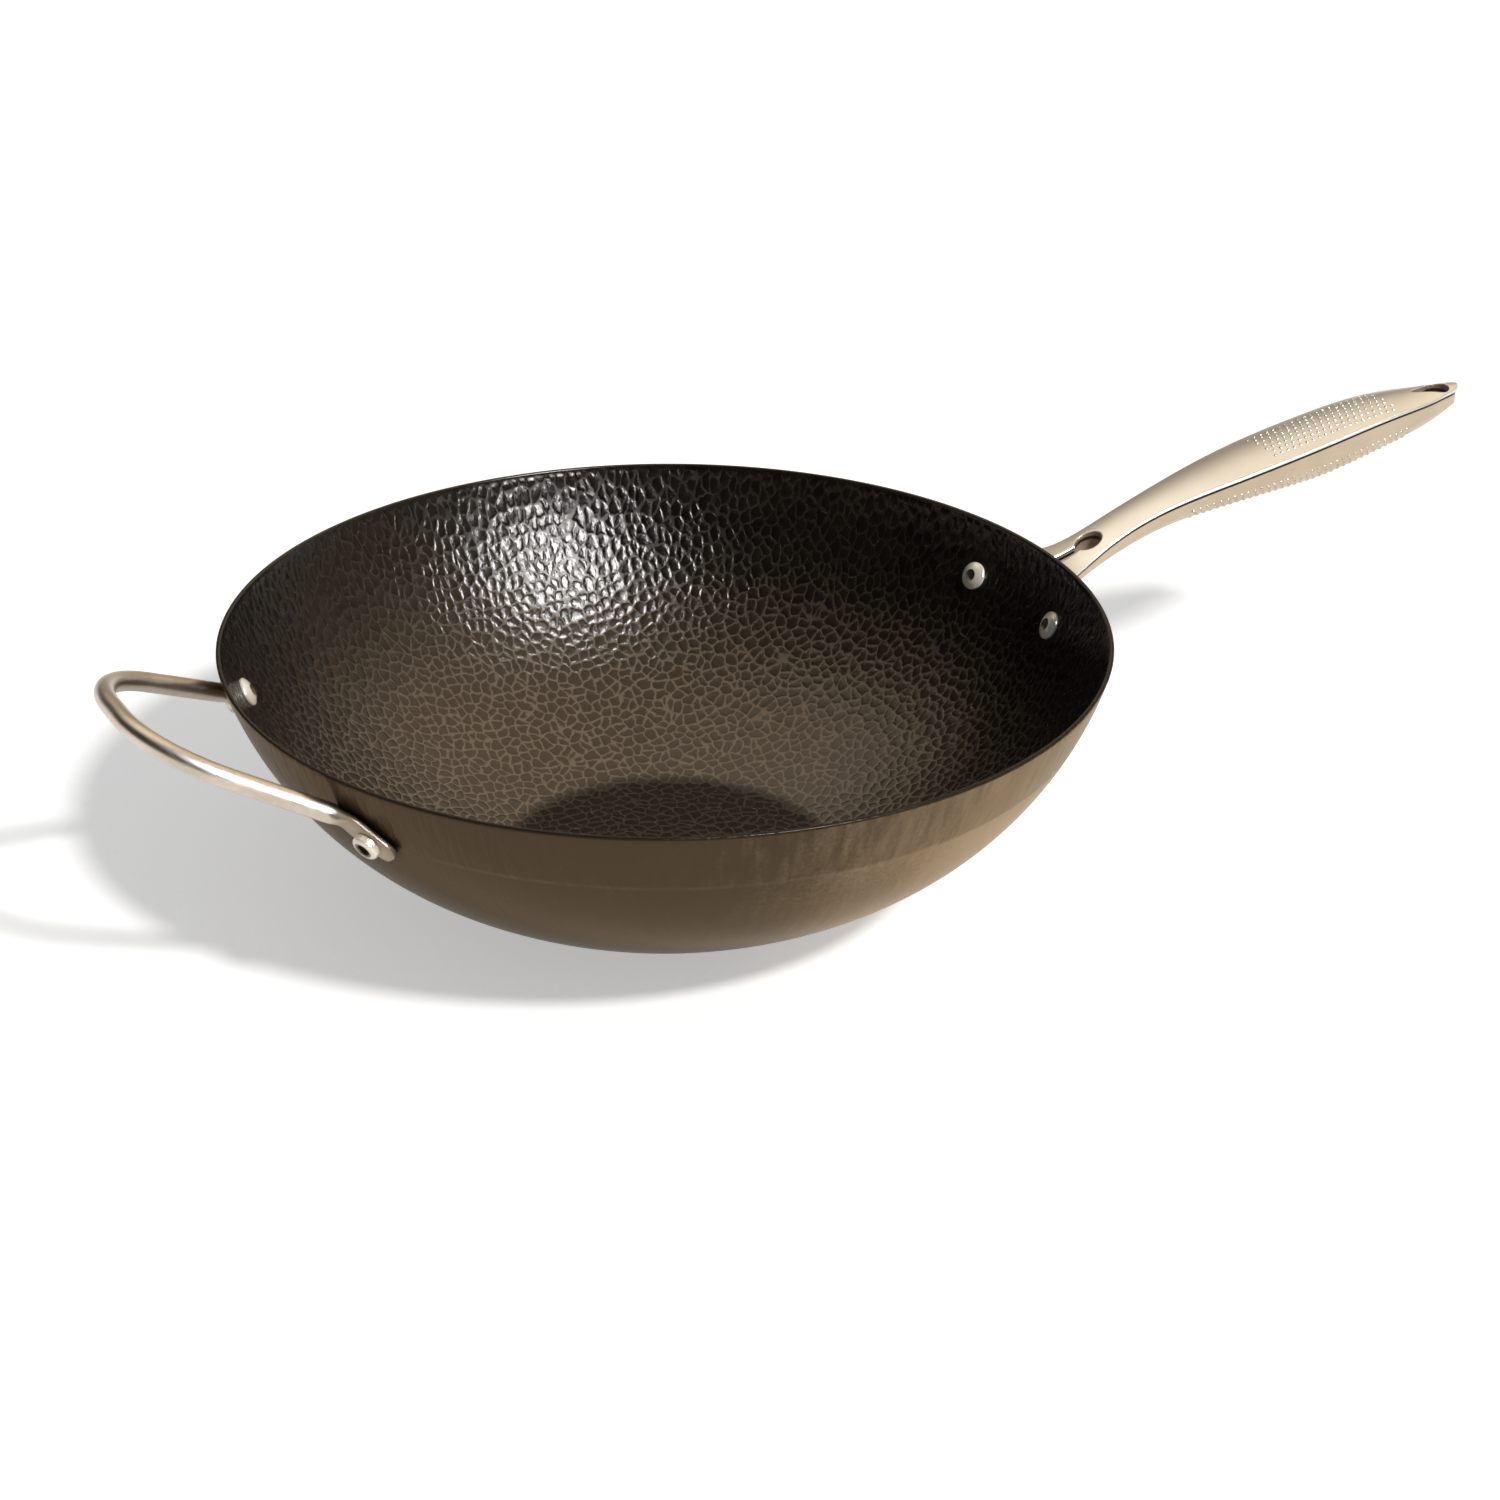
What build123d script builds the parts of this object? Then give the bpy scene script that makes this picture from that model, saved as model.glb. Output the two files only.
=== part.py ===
from build123d import *
import math
import os

# A round-bottomed frying vessel of thin steel with a flat base, a long two-shell handle on one side
# and a bent-rod helper handle on the other, all held by hollow rivets through the wall.
# Millimetres. Origin at the centre of the resting face, +Z up, +X along the long handle.

# Bowl
rim_radius = 160.0
bowl_height = 95.2
base_radius = 60.2
wall = 1.6
rim_round = 0.45
base_angle = 18.2
turn_angle = 34.2
rim_angle = 74.1

# Rivets
shank_radius = 2.4
hole_clearance = 0.06
seat_clearance = 0.03
head_radius = 5.4
head_height = 2.6
head_edge = 0.7
dimple_radius = 2.0
dimple_depth = 1.1
tail_radius = 4.9
tail_height = 3.0
tail_round = 1.4
tail_bore_radius = 2.3
tail_bore_depth = 2.4

# Where the rivets pass the wall: height as a share of the bowl's, and the angle from the X axis
handle_rivet_height_share = 0.779
handle_rivet_angle = 10.1
helper_rivet_height_share = 0.777
helper_rivet_angle = 23.6

# Long handle
handle_reach = 198.8
handle_rise = 30.2
grip_half_width = 14.4
belly_depth = 16.8
crown_height = 2.3
edge_height = 0.9
groove = 0.7
shell_wall = 1.5
crown_margin = 1.5
belly_margin = 0.9
pad_radius = 9.5
pad_thickness = 3.6
wall_gap = 0.1
prong_flare_angle = 36.0
tip_taper_angle = 20.0
tip_round_share = 0.53
end_pull = 1.0
seat_margin = 0.7
keyhole_radius = 5.0
slot_half_width = 1.7
slot_mouth_half_width = 3.2
hanging_hole_radius = 4.6
hanging_hole_length = 17.5
hanging_hole_point_radius = 1.0
hole_round = 0.5

# Places along the long handle, each as shares of the sizes above:
# reach beyond the rim, half width, rise above the rim, belly depth, crown height, and how square
# the belly's corners are
handle_station_shares = [
    (0.015, 1.172, -0.331, 0.265, 0.35, 0.97),
    (0.063, 0.848, -0.262, 0.295, 0.40, 0.95),
    (0.112, 0.688, -0.132, 0.375, 0.42, 0.90),
    (0.181, 0.616, 0.065, 0.490, 0.45, 0.80),
    (0.257, 0.652, 0.238, 0.560, 0.50, 0.72),
    (0.401, 0.870, 0.477, 0.710, 0.80, 0.72),
    (0.546, 0.995, 0.669, 0.905, 1.00, 0.72),
    (0.654, 0.987, 0.795, 1.000, 1.00, 0.72),
    (0.739, 0.938, 0.887, 0.964, 0.95, 0.72),
    (0.836, 0.810, 0.954, 0.833, 0.92, 0.72),
    (0.933, 0.500, 0.976, 0.590, 0.85, 0.72),
]
tip_station_shares = (1.005, 0.300, 0.985, 0.24, 0.55, 0.72)
prong_end_share = 0.025
hanging_hole_share = 0.9507
keyhole_share = 0.112
cavity_start_share = 0.22
cavity_end_share = 0.80

# Helper handle
rod_radius = 3.55
helper_reach = 43.7
helper_rise = 12.7
helper_half_width = 33.5
helper_bend_radius = 38.0
lug_half_width = 5.5
lug_thickness = 3.4
lug_tail = 9.5
lug_root = 8.5
lug_slope_angle = 37.0
pinch_length = 9.0
pinch_inset = 0.4

# Overrun that lets a cut pass right through, height cleared above a plate on the wall, and reach
# well beyond the part
overrun = 1.0
plate_clearing = 15.0
reach_beyond = 60.0


def arc_radii():
    """Radii of the lower and upper arcs that carry the wall from the base edge to the rim."""
    start, turn, end = (math.radians(angle) for angle in (base_angle, turn_angle, rim_angle))
    across, up = rim_radius - base_radius, bowl_height
    low_across, high_across = math.sin(turn) - math.sin(start), math.sin(end) - math.sin(turn)
    low_up, high_up = math.cos(start) - math.cos(turn), math.cos(turn) - math.cos(end)
    spread = low_across * high_up - high_across * low_up
    low = (across * high_up - high_across * up) / spread
    high = (low_across * up - low_up * across) / spread
    return low, high


lower_radius, upper_radius = arc_radii()
lower_centre = (
    base_radius - lower_radius * math.sin(math.radians(base_angle)),
    lower_radius * math.cos(math.radians(base_angle)),
)
upper_centre = (
    rim_radius - upper_radius * math.sin(math.radians(rim_angle)),
    bowl_height + upper_radius * math.cos(math.radians(rim_angle)),
)


def on_arc(centre, radius, angle):
    """Point of an arc where the wall has the given slope in degrees."""
    slope = math.radians(angle)
    return (centre[0] + radius * math.sin(slope), centre[1] - radius * math.cos(slope))


def slope_at(centre, radius, height):
    """Slope in degrees of the wall where the arc is at the given height."""
    return math.degrees(math.acos((centre[1] - height) / radius))


def bowl_outline(offset, top):
    """Points of the wall at a distance outside its outer face, from its foot up to a height."""
    low, high = lower_radius + offset, upper_radius + offset
    foot = slope_at(lower_centre, low, -offset)
    end = slope_at(upper_centre, high, top)
    return [
        on_arc(lower_centre, low, foot),
        on_arc(lower_centre, low, (foot + turn_angle) / 2),
        on_arc(lower_centre, low, turn_angle),
        on_arc(upper_centre, high, (turn_angle + end) / 2),
        on_arc(upper_centre, high, end),
    ]


def bowl_solid(offset, top):
    """The full round solid inside the wall's face at an offset, up to a height."""
    points = [(r, 0, z) for r, z in bowl_outline(offset, top)]
    floor = points[0][2]
    edges = [
        Line((0, 0, floor), points[0]),
        ThreePointArc(*points[0:3]),
        ThreePointArc(*points[2:5]),
        Line(points[4], (0, 0, top)),
        Line((0, 0, top), (0, 0, floor)),
    ]
    return revolve(make_face(edges), Axis.Z, 360)


def wall_plane(height_share, angle):
    """Plane on the wall's outer face, its normal pointing outward."""
    height = bowl_height * height_share
    slope = slope_at(upper_centre, upper_radius, height)
    radius = on_arc(upper_centre, upper_radius, slope)[0]
    turn, lean = math.radians(angle), math.radians(slope)
    away = Vector(math.cos(turn), math.sin(turn), 0)
    normal = away * math.sin(lean) - Vector(0, 0, math.cos(lean))
    along = Vector(-math.sin(turn), math.cos(turn), 0)
    return Plane(away * radius + Vector(0, 0, height), x_dir=along, z_dir=normal)


def wall_shell(inner, outer, plane, outline):
    """Plate that follows the wall between two offsets, cut to an outline drawn on a wall plane."""
    top = bowl_height + plate_clearing
    layer = bowl_solid(outer, top) - bowl_solid(inner, top + overrun)
    return layer & extrude(plane * outline, outer + plate_clearing, both=True)


def rivet_hole(plane):
    """Hole through the wall and whatever is riveted to it."""
    return plane * Cylinder(shank_radius + hole_clearance, reach_beyond / 2)


def tail_seat(plane, grip):
    """Flat seat for a rivet's tail, with everything above it cleared away."""
    seat = Cylinder(tail_radius + seat_margin, plate_clearing)
    return plane * Pos(0, 0, grip + plate_clearing / 2) * seat


def wok_body(planes):
    """Thin bowl with a flat base and rounded rim, drilled for the four rivets."""
    body = bowl_solid(0, bowl_height) - bowl_solid(-wall, bowl_height + overrun)
    rim_edges = body.edges().group_by(Axis.Z)[-1]
    body = fillet(rim_edges, rim_round)
    for plane in planes:
        body -= rivet_hole(plane)
    return body


def upright(radius, low, high):
    """Round solid on the axis of a rivet between two heights."""
    return Pos(0, 0, (low + high) / 2) * Cylinder(radius, high - low)


def rivet(plane, grip):
    """Rivet with a domed head inside the wall and a hollow tail outside the plate it grips."""
    sag = head_radius**2 / (2 * (upper_radius - wall))
    head_seat = -wall - seat_clearance - sag
    head_top = head_seat - head_height
    rise = head_height - head_edge
    ball = (head_radius**2 + rise**2) / (2 * rise)
    tail_foot = grip + seat_clearance
    tail_top = tail_foot + tail_height
    tail = upright(tail_radius, tail_foot, tail_top)
    tail = fillet(tail.edges().group_by(Axis.Z)[-1], tail_round)
    head = upright(head_radius, head_top, head_seat) & Pos(0, 0, head_top + ball) * Sphere(ball)
    solid = head + upright(shank_radius, head_seat, tail_foot) + tail
    solid -= upright(dimple_radius, head_top, head_top + dimple_depth)
    solid -= upright(tail_bore_radius, tail_top - tail_bore_depth, tail_top)
    return plane * solid


class Station:
    """One place along the long handle, worked out from its shares."""

    def __init__(self, shares):
        reach, width, rise, depth, crown, square = shares
        self.x = rim_radius + handle_reach * reach
        self.half_width = grip_half_width * width
        self.seam = bowl_height + handle_rise * rise
        self.depth = belly_depth * depth
        self.crown = crown_height * crown
        self.square_share = square


stations = [Station(shares) for shares in handle_station_shares]
tip = Station(tip_station_shares)


def reach_x(share):
    """Place along the handle at a share of its reach beyond the rim."""
    return rim_radius + handle_reach * share


tip_x = reach_x(1)


def handle_plan(inset):
    """Plan of the long handle from the prongs' ends to the round tip, drawn inset from its edge."""
    flare, taper = math.radians(prong_flare_angle), math.radians(tip_taper_angle)
    leaving = (math.cos(flare), -math.sin(flare), 0)
    arriving = (math.cos(taper), -math.sin(taper), 0)
    points = [(s.x, s.half_width - inset, 0) for s in stations]
    first, last = points[0], points[-1]
    side = Spline(*points, tangents=[leaving, arriving], tangent_scalars=[end_pull, end_pull])
    end = tip_x - inset
    lean = (end - last[0]) * tip_round_share
    shoulder = (last[0] + lean, last[1] - lean * math.tan(taper), 0)
    nose = (end, last[1] * tip_round_share, 0)
    bend = Bezier(last, shoulder, nose, (end, 0, 0))
    across = Line((first[0], -first[1], 0), first)
    return make_face([across, side, bend, mirror(bend, about=Plane.XZ), mirror(side, about=Plane.XZ)])


def plan_block(outline):
    """A plan outline made tall enough to cut the handle right through."""
    return extrude(outline, bowl_height + handle_rise + reach_beyond)


def seam_block(above):
    """Everything above, or below, the sheet where the two shells meet."""
    points = [(s.x, 0, s.seam) for s in stations] + [(tip_x + overrun, 0, tip.seam)]
    limit = tip.seam + reach_beyond if above else -reach_beyond
    start, end = points[0], points[-1]
    edges = [
        Spline(*points),
        Line(end, (end[0], 0, limit)),
        Line((end[0], 0, limit), (start[0], 0, limit)),
        Line((start[0], 0, limit), start),
    ]
    return extrude(make_face(edges), reach_beyond, both=True)


def beyond(x):
    """Everything of the handle that lies farther out than a place along it."""
    length = tip_x + reach_beyond - x
    tall = 2 * (bowl_height + handle_rise + reach_beyond)
    return Pos(x + length / 2, 0, 0) * Box(length, 2 * reach_beyond, tall)


def crown_section(station, inset):
    """Closed outline across the upper shell: a low arch over the seam."""
    reach = station.half_width + crown_margin
    ball = (station.half_width**2 + station.crown**2) / (2 * station.crown)
    top = station.seam + edge_height + station.crown - inset
    side = top - ball + math.sqrt(ball**2 - reach**2)
    foot = station.seam - 2 * edge_height - inset
    x = station.x
    return [
        Line((x, -reach, foot), (x, reach, foot)),
        Line((x, reach, foot), (x, reach, side)),
        ThreePointArc((x, reach, side), (x, 0, top), (x, -reach, side)),
        Line((x, -reach, side), (x, -reach, foot)),
    ]


def belly_section(station, inset):
    """Closed outline across the lower shell: flat above the seam, full and rounded below."""
    half = station.half_width - groove + belly_margin - inset
    square = half * station.square_share
    x, seam = station.x, station.seam
    top = seam + edge_height
    bottom = seam - station.depth + inset
    corner = seam - (seam - bottom) * station.square_share
    return [
        Line((x, -half, top), (x, half, top)),
        Line((x, half, top), (x, half, seam)),
        Bezier((x, half, seam), (x, half, corner), (x, square, bottom), (x, 0, bottom)),
        Bezier((x, 0, bottom), (x, -square, bottom), (x, -half, corner), (x, -half, seam)),
        Line((x, -half, seam), (x, -half, top)),
    ]


def along_handle(section, inset):
    """Smooth solid through one section shape at every station."""
    return loft([make_face(section(place, inset)) for place in stations + [tip]])


def cavity(section):
    """Hollow inside a shell's grip, closed towards the fork and the hanging hole."""
    space = along_handle(section, shell_wall)
    ends = beyond(reach_x(cavity_start_share)) - beyond(reach_x(cavity_end_share))
    return space & ends & plan_block(handle_plan(groove + shell_wall))


def keyhole():
    """Round hole where the handle forks, with a slot that opens towards the wok."""
    centre = reach_x(keyhole_share)
    slot = Polygon(
        (centre, -slot_half_width),
        (centre, slot_half_width),
        (rim_radius, slot_mouth_half_width),
        (rim_radius, -slot_mouth_half_width),
        align=None,
    )
    return plan_block(slot) + plan_block(Pos(centre, 0) * Circle(keyhole_radius))


def hanging_hole():
    """Teardrop through the handle near its tip, its point towards the wok."""
    big = reach_x(hanging_hole_share)
    small = big + hanging_hole_radius - hanging_hole_length + hanging_hole_point_radius
    lean = math.acos((hanging_hole_radius - hanging_hole_point_radius) / (big - small))
    corners = []
    for x, radius, side in (
        (big, hanging_hole_radius, 1),
        (small, hanging_hole_point_radius, 1),
        (small, hanging_hole_point_radius, -1),
        (big, hanging_hole_radius, -1),
    ):
        corners.append((x - radius * math.cos(lean), side * radius * math.sin(lean)))
    outline = Polygon(*corners, align=None)
    outline += Pos(big, 0) * Circle(hanging_hole_radius)
    outline += Pos(small, 0) * Circle(hanging_hole_point_radius)
    return plan_block(outline)


def handle_upper_shell():
    """Upper half of the long handle: crowned top with a crisp edge that overhangs the lower half."""
    shell = along_handle(crown_section, 0)
    shell = shell & plan_block(handle_plan(0)) & seam_block(True) & beyond(reach_x(prong_end_share))
    shell = shell - hanging_hole()
    holed = shell.faces().filter_by(lambda face: len(face.inner_wires()) > 0)
    shell = fillet(holed.sort_by(Axis.Z)[-1].inner_wires()[0].edges(), hole_round)
    return shell - cavity(crown_section) - keyhole()


def prong():
    """Arm from one side of the fork down to its riveting pad, on the +Y side."""
    plane = wall_plane(handle_rivet_height_share, handle_rivet_angle)
    x = reach_x(prong_end_share)
    near, far = stations[0], stations[1]
    share = (x - near.x) / (far.x - near.x)
    outer = near.half_width + (far.half_width - near.half_width) * share - groove
    seam = near.seam + (far.seam - near.seam) * share
    top = seam + edge_height
    bottom = seam - near.depth
    start = Vector(x, (outer + slot_mouth_half_width) / 2, (top + bottom) / 2)
    end = plane.origin + plane.z_dir * (wall_gap + pad_thickness / 2)
    path = end - start
    path = (path - plane.z_dir * path.dot(plane.z_dir)).normalized()
    root = Plane(start, x_dir=(0, 1, 0), z_dir=(-1, 0, 0))
    foot = Plane(end, x_dir=path.cross(plane.z_dir), z_dir=path)
    arm = loft([
        root * Rectangle(outer - slot_mouth_half_width, top - bottom),
        foot * Rectangle(2 * pad_radius, pad_thickness),
    ])
    arm = arm - bowl_solid(wall_gap, bowl_height + reach_beyond)
    return arm + wall_shell(wall_gap, wall_gap + pad_thickness, plane, Circle(pad_radius))


def handle_lower_shell(planes):
    """Lower half of the long handle: full belly, two prongs and the riveting pads."""
    belly = along_handle(belly_section, 0)
    belly = belly & plan_block(handle_plan(groove)) & seam_block(False) & beyond(reach_x(prong_end_share))
    belly -= cavity(belly_section)
    arm = prong()
    shell = belly + arm + mirror(arm, about=Plane.XZ)
    shell = shell - keyhole() - hanging_hole()
    for plane in planes:
        shell -= rivet_hole(plane) + tail_seat(plane, wall_gap + pad_thickness)
    return shell


def lug_plate(plane):
    """Flattened rod end that lies on the wall, rounded at both ends."""
    length = lug_root + lug_tail - 2 * lug_half_width
    outline = Pos((lug_tail - lug_root) / 2, 0) * SlotCenterToCenter(length, 2 * lug_half_width)
    outline = Rot(0, 0, 180 + lug_slope_angle) * outline
    return wall_shell(wall_gap, wall_gap + lug_thickness, plane, outline)


def helper_handle():
    """Round rod bent into a loop, its two ends pinched flat against the wall and drilled."""
    plane = wall_plane(helper_rivet_height_share, 180 - helper_rivet_angle)
    slope = math.radians(lug_slope_angle)
    run = plane.x_dir * -math.cos(slope) - plane.y_dir * math.sin(slope)
    rod_lift = plane.z_dir * (wall_gap + rod_radius)
    lug_lift = plane.z_dir * (wall_gap + lug_thickness / 2)
    rod_end = plane.origin - run * (lug_root + pinch_length) + rod_lift
    pinch_end = plane.origin - run * (lug_root - lug_half_width) + lug_lift
    corner = Vector(-rim_radius - helper_reach, helper_half_width, bowl_height + helper_rise)
    far_corner = Vector(corner.X, -corner.Y, corner.Z)
    far_end = Vector(rod_end.X, -rod_end.Y, rod_end.Z)
    path = FilletPolyline(rod_end, corner, far_corner, far_end, radius=helper_bend_radius)
    leg = (rod_end - corner).normalized()
    across = leg.cross(plane.z_dir).normalized()
    start = Plane(rod_end, x_dir=across, z_dir=leg * -1)
    rod = sweep(start * Circle(rod_radius), path=path)
    round_end = Plane(rod_end, x_dir=across, z_dir=leg) * Circle(rod_radius)
    flat_plane = Plane(pinch_end, x_dir=run.cross(plane.z_dir), z_dir=run)
    flat_end = flat_plane * Ellipse(lug_half_width - pinch_inset, lug_thickness / 2 - pinch_inset)
    pinch = loft([round_end, flat_end])
    end = pinch - bowl_solid(wall_gap, bowl_height + reach_beyond) + lug_plate(plane)
    end -= rivet_hole(plane) + tail_seat(plane, wall_gap + lug_thickness)
    return rod + end + mirror(end, about=Plane.XZ)


os.makedirs("parts", exist_ok=True)
sides = (("left", 1), ("right", -1))
handle_planes = [wall_plane(handle_rivet_height_share, side * handle_rivet_angle) for _, side in sides]
helper_turn = 180 - helper_rivet_angle
helper_planes = [wall_plane(helper_rivet_height_share, side * helper_turn) for _, side in sides]
parts = {
    "wok_body": wok_body(handle_planes + helper_planes),
    "handle_upper_shell": handle_upper_shell(),
    "handle_lower_shell": handle_lower_shell(handle_planes),
    "helper_handle": helper_handle(),
}
for name, planes, grip in (
    ("handle_rivet", handle_planes, wall_gap + pad_thickness),
    ("helper_rivet", helper_planes, wall_gap + lug_thickness),
):
    for (side, _), plane in zip(sides, planes):
        parts[f"{name}_{side}"] = rivet(plane, grip)
for name, shape in parts.items():
    export_step(shape, f"parts/{name}.step")
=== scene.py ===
"""Looks of a carbon steel wok: pebbled seasoned bowl, satin steel forked handle, bent-rod helper handle."""
import logging
import math
from collections.abc import Callable
from dataclasses import dataclass
from enum import Enum
from functools import cache, reduce

import bpy
import numpy as np
from mathutils import Matrix, Vector

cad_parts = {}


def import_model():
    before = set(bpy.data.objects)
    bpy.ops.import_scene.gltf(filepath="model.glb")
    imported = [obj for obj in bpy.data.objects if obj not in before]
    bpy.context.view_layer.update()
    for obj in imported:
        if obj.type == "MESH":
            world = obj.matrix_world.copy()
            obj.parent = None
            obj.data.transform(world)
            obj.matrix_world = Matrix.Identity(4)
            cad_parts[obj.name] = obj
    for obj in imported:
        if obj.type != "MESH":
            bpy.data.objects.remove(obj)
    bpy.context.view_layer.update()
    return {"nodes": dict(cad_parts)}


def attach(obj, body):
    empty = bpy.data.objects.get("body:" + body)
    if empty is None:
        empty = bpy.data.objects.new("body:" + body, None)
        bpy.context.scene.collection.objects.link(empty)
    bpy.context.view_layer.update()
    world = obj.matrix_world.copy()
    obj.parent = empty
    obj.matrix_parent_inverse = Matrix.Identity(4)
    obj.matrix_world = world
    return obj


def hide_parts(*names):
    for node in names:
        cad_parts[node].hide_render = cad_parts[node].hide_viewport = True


log = logging.getLogger("wok")
MM = 0.001
WHITE = (1.0, 1.0, 1.0, 1.0)
MIRROR = np.array([1.0, -1.0, 1.0])
Array = np.ndarray
Piece = bpy.types.Object
Material = bpy.types.Material
Tree = bpy.types.NodeTree
Socket = bpy.types.NodeSocket
Value = Socket | float | tuple


class Slot(Enum):
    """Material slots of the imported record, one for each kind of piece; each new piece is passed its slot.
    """

    BOWL = "seasoned_steel"
    HANDLE = "handle_steel"
    ROD = "rod_steel"
    RIVET = "rivet_steel"


# Surfaces


def full_turn(count: int) -> Array:
    """Angles of an even full turn, the last one short of the first."""
    return np.linspace(0.0, 2 * math.pi, count, endpoint=False)


def columns(*parts: object) -> Array:
    """Array whose last axis holds the parts, each spread to their common shape."""
    return np.stack(np.broadcast_arrays(*parts), axis=-1)


def unit(vectors: Array) -> Array:
    """Vectors of length one that point the same ways."""
    return vectors / np.linalg.norm(vectors, axis=-1, keepdims=True)


def arc(centre: object, radius: object, angles: Array) -> Array:
    """Arc of a circle or ellipse: the centre and the radius times the angles' cosines and sines."""
    return np.asarray(centre) + np.asarray(radius) * columns(np.cos(angles), np.sin(angles))


def bezier(t: Array, *corners: object) -> Array:
    """Bezier curve: each corner times its share, a product of powers of the place and of one less it.

    Args:
        t: places from 0 at the start to 1 at the end.
        corners: points or values that steer the curve.

    Returns:
        The curve's points or values.
    """
    last = len(corners) - 1
    shares = (math.comb(last, i) * (1 - t) ** (last - i) * t**i for i in range(last + 1))
    return sum(share * corner for share, corner in zip(shares, corners))


def hermite(t: Array, start: object, end: object, leaving: object, arriving: object) -> Array:
    """Cubic from a start to an end that leaves and arrives with given slopes.

    Args:
        t: places from 0 at the start to 1 at the end.
        start: value at the start.
        end: value at the end.
        leaving: slope at the start.
        arriving: slope at the end.

    Returns:
        The values at the places.
    """
    first = (2 * t**3 - 3 * t**2 + 1) * start + (t**3 - 2 * t**2 + t) * leaving
    return first + (3 * t**2 - 2 * t**3) * end + (t**3 - t**2) * arriving


def smooth(mesh: bpy.types.Mesh, sharp: float) -> None:
    """Smooths all faces of a mesh, with crisp edges above an angle in degrees."""
    mesh.polygons.foreach_set("use_smooth", np.ones(len(mesh.polygons), dtype=bool))
    mesh.set_sharp_from_angle(angle=math.radians(sharp))


def new_piece(name: str, points: Array, faces: list, sharp: float = 180.0) -> Piece:
    """Smooth object at the origin.

    Args:
        name: its name.
        points: its points in metres.
        faces: lists of the points of each face.
        sharp: angle in degrees above which an edge stays crisp.

    Returns:
        The new object.
    """
    mesh = bpy.data.meshes.new(name)
    mesh.from_pydata(points.tolist(), [], faces)
    smooth(mesh, sharp)
    mesh.update()
    piece = bpy.data.objects.new(name, mesh)
    bpy.context.scene.collection.objects.link(piece)
    return piece


def skin(name: str, rings: Array, sharp: float = 50.0, flat_ends: bool = False) -> Piece:
    """Closed mesh over a stack of closed rings, with a fan over each end.

    Args:
        name: name of the piece.
        rings: points as an array of rings, points round the ring, and x, y, z, in metres.
        sharp: angle in degrees above which an edge stays crisp.
        flat_ends: whether each end, then flat, is closed by a single face.

    Returns:
        The new object, its faces pointing outwards.
    """
    count, around = rings.shape[:2]
    index = np.arange(count * around).reshape(count, around)
    turned = np.roll(index, -1, axis=1)
    quads = columns(index[:-1], turned[:-1], turned[1:], index[1:]).reshape(-1, 4)
    middle = count * around
    fan_start = columns(turned[0], index[0], middle)
    fans = np.concatenate([fan_start, columns(index[-1], turned[-1], middle + 1)])
    points = np.concatenate([rings.reshape(-1, 3), [rings[0].mean(axis=0), rings[-1].mean(axis=0)]])
    corners = points[np.concatenate([quads[:, [0, 1, 2]], quads[:, [0, 2, 3]], fans])]
    volume = np.einsum("ij,ij->", corners[:, 0], np.cross(corners[:, 1], corners[:, 2]))
    ends = [index[0, ::-1].tolist(), index[-1].tolist()] if flat_ends else fans.tolist()
    faces = quads.tolist() + ends
    if volume < 0:
        faces = [face[::-1] for face in faces]
    return new_piece(name, points[: -2 if flat_ends else None], faces, sharp)


def cut_out(piece: Piece, cutters: list[Piece], sharp: float = 35.0) -> None:
    """Cuts closed shapes out of a piece for good and removes the shapes.

    Args:
        piece: the piece that is cut.
        cutters: closed objects to take away from it.
        sharp: angle in degrees above which an edge stays crisp.
    """
    for cutter in cutters:
        cut = piece.modifiers.new(cutter.name, "BOOLEAN")
        cut.operation, cut.solver, cut.object = "DIFFERENCE", "EXACT", cutter
    graph = bpy.context.evaluated_depsgraph_get()
    mesh = bpy.data.meshes.new_from_object(piece.evaluated_get(graph))
    piece.modifiers.clear()
    piece.data = mesh
    smooth(mesh, sharp)
    for cutter in cutters:
        bpy.data.objects.remove(cutter)


def cubic_through(
    known: Array,
    values: Array,
    places: Array,
    slopes: tuple[float | None, float | None] = (None, None),
) -> Array:
    """Cubic spline through known values.

    Each span is the cubic whose value and slope match at both ends; the slopes come from the linear
    system that makes the second derivative run on through each known place. An end is free, with no
    second derivative, or has the slope that is given.

    Args:
        known: places of the known values, rising.
        values: values there.
        places: places where the spline is wanted.
        slopes: slope at the first and last known place, or None for a free end.

    Returns:
        The spline's values at the places.
    """
    count = len(known)
    step = np.diff(known)
    rise = np.diff(values) / step
    system = np.zeros((count, count))
    right = np.zeros(count)
    inner = np.arange(1, count - 1)
    system[inner, inner - 1] = step[1:]
    system[inner, inner] = 2 * (step[:-1] + step[1:])
    system[inner, inner + 1] = step[:-1]
    right[inner] = 3 * (step[1:] * rise[:-1] + step[:-1] * rise[1:])
    for row, near, slope, edge in ((0, 1, slopes[0], 0), (count - 1, count - 2, slopes[1], -1)):
        if slope is None:
            system[row, row], system[row, near], right[row] = 2, 1, 3 * rise[edge]
        else:
            system[row, row], right[row] = 1, slope
    slope_at = np.linalg.solve(system, right)
    span = np.clip(np.searchsorted(known, places) - 1, 0, count - 2)
    width = step[span]
    t = (places - known[span]) / width
    return hermite(t, values[span], values[span + 1], width * slope_at[span], width * slope_at[span + 1])


def wear_slot(piece: Piece, slot: Slot, materials: list[Material], stands_for: str | None) -> None:
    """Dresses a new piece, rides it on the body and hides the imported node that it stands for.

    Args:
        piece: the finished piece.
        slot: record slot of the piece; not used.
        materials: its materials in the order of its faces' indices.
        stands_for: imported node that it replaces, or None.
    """
    for material in materials:
        piece.data.materials.append(material)
    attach(piece, "root")
    if stands_for:
        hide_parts(stands_for)
    log.info("%s: %d faces", piece.name, len(piece.data.polygons))


# Shader building


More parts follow.
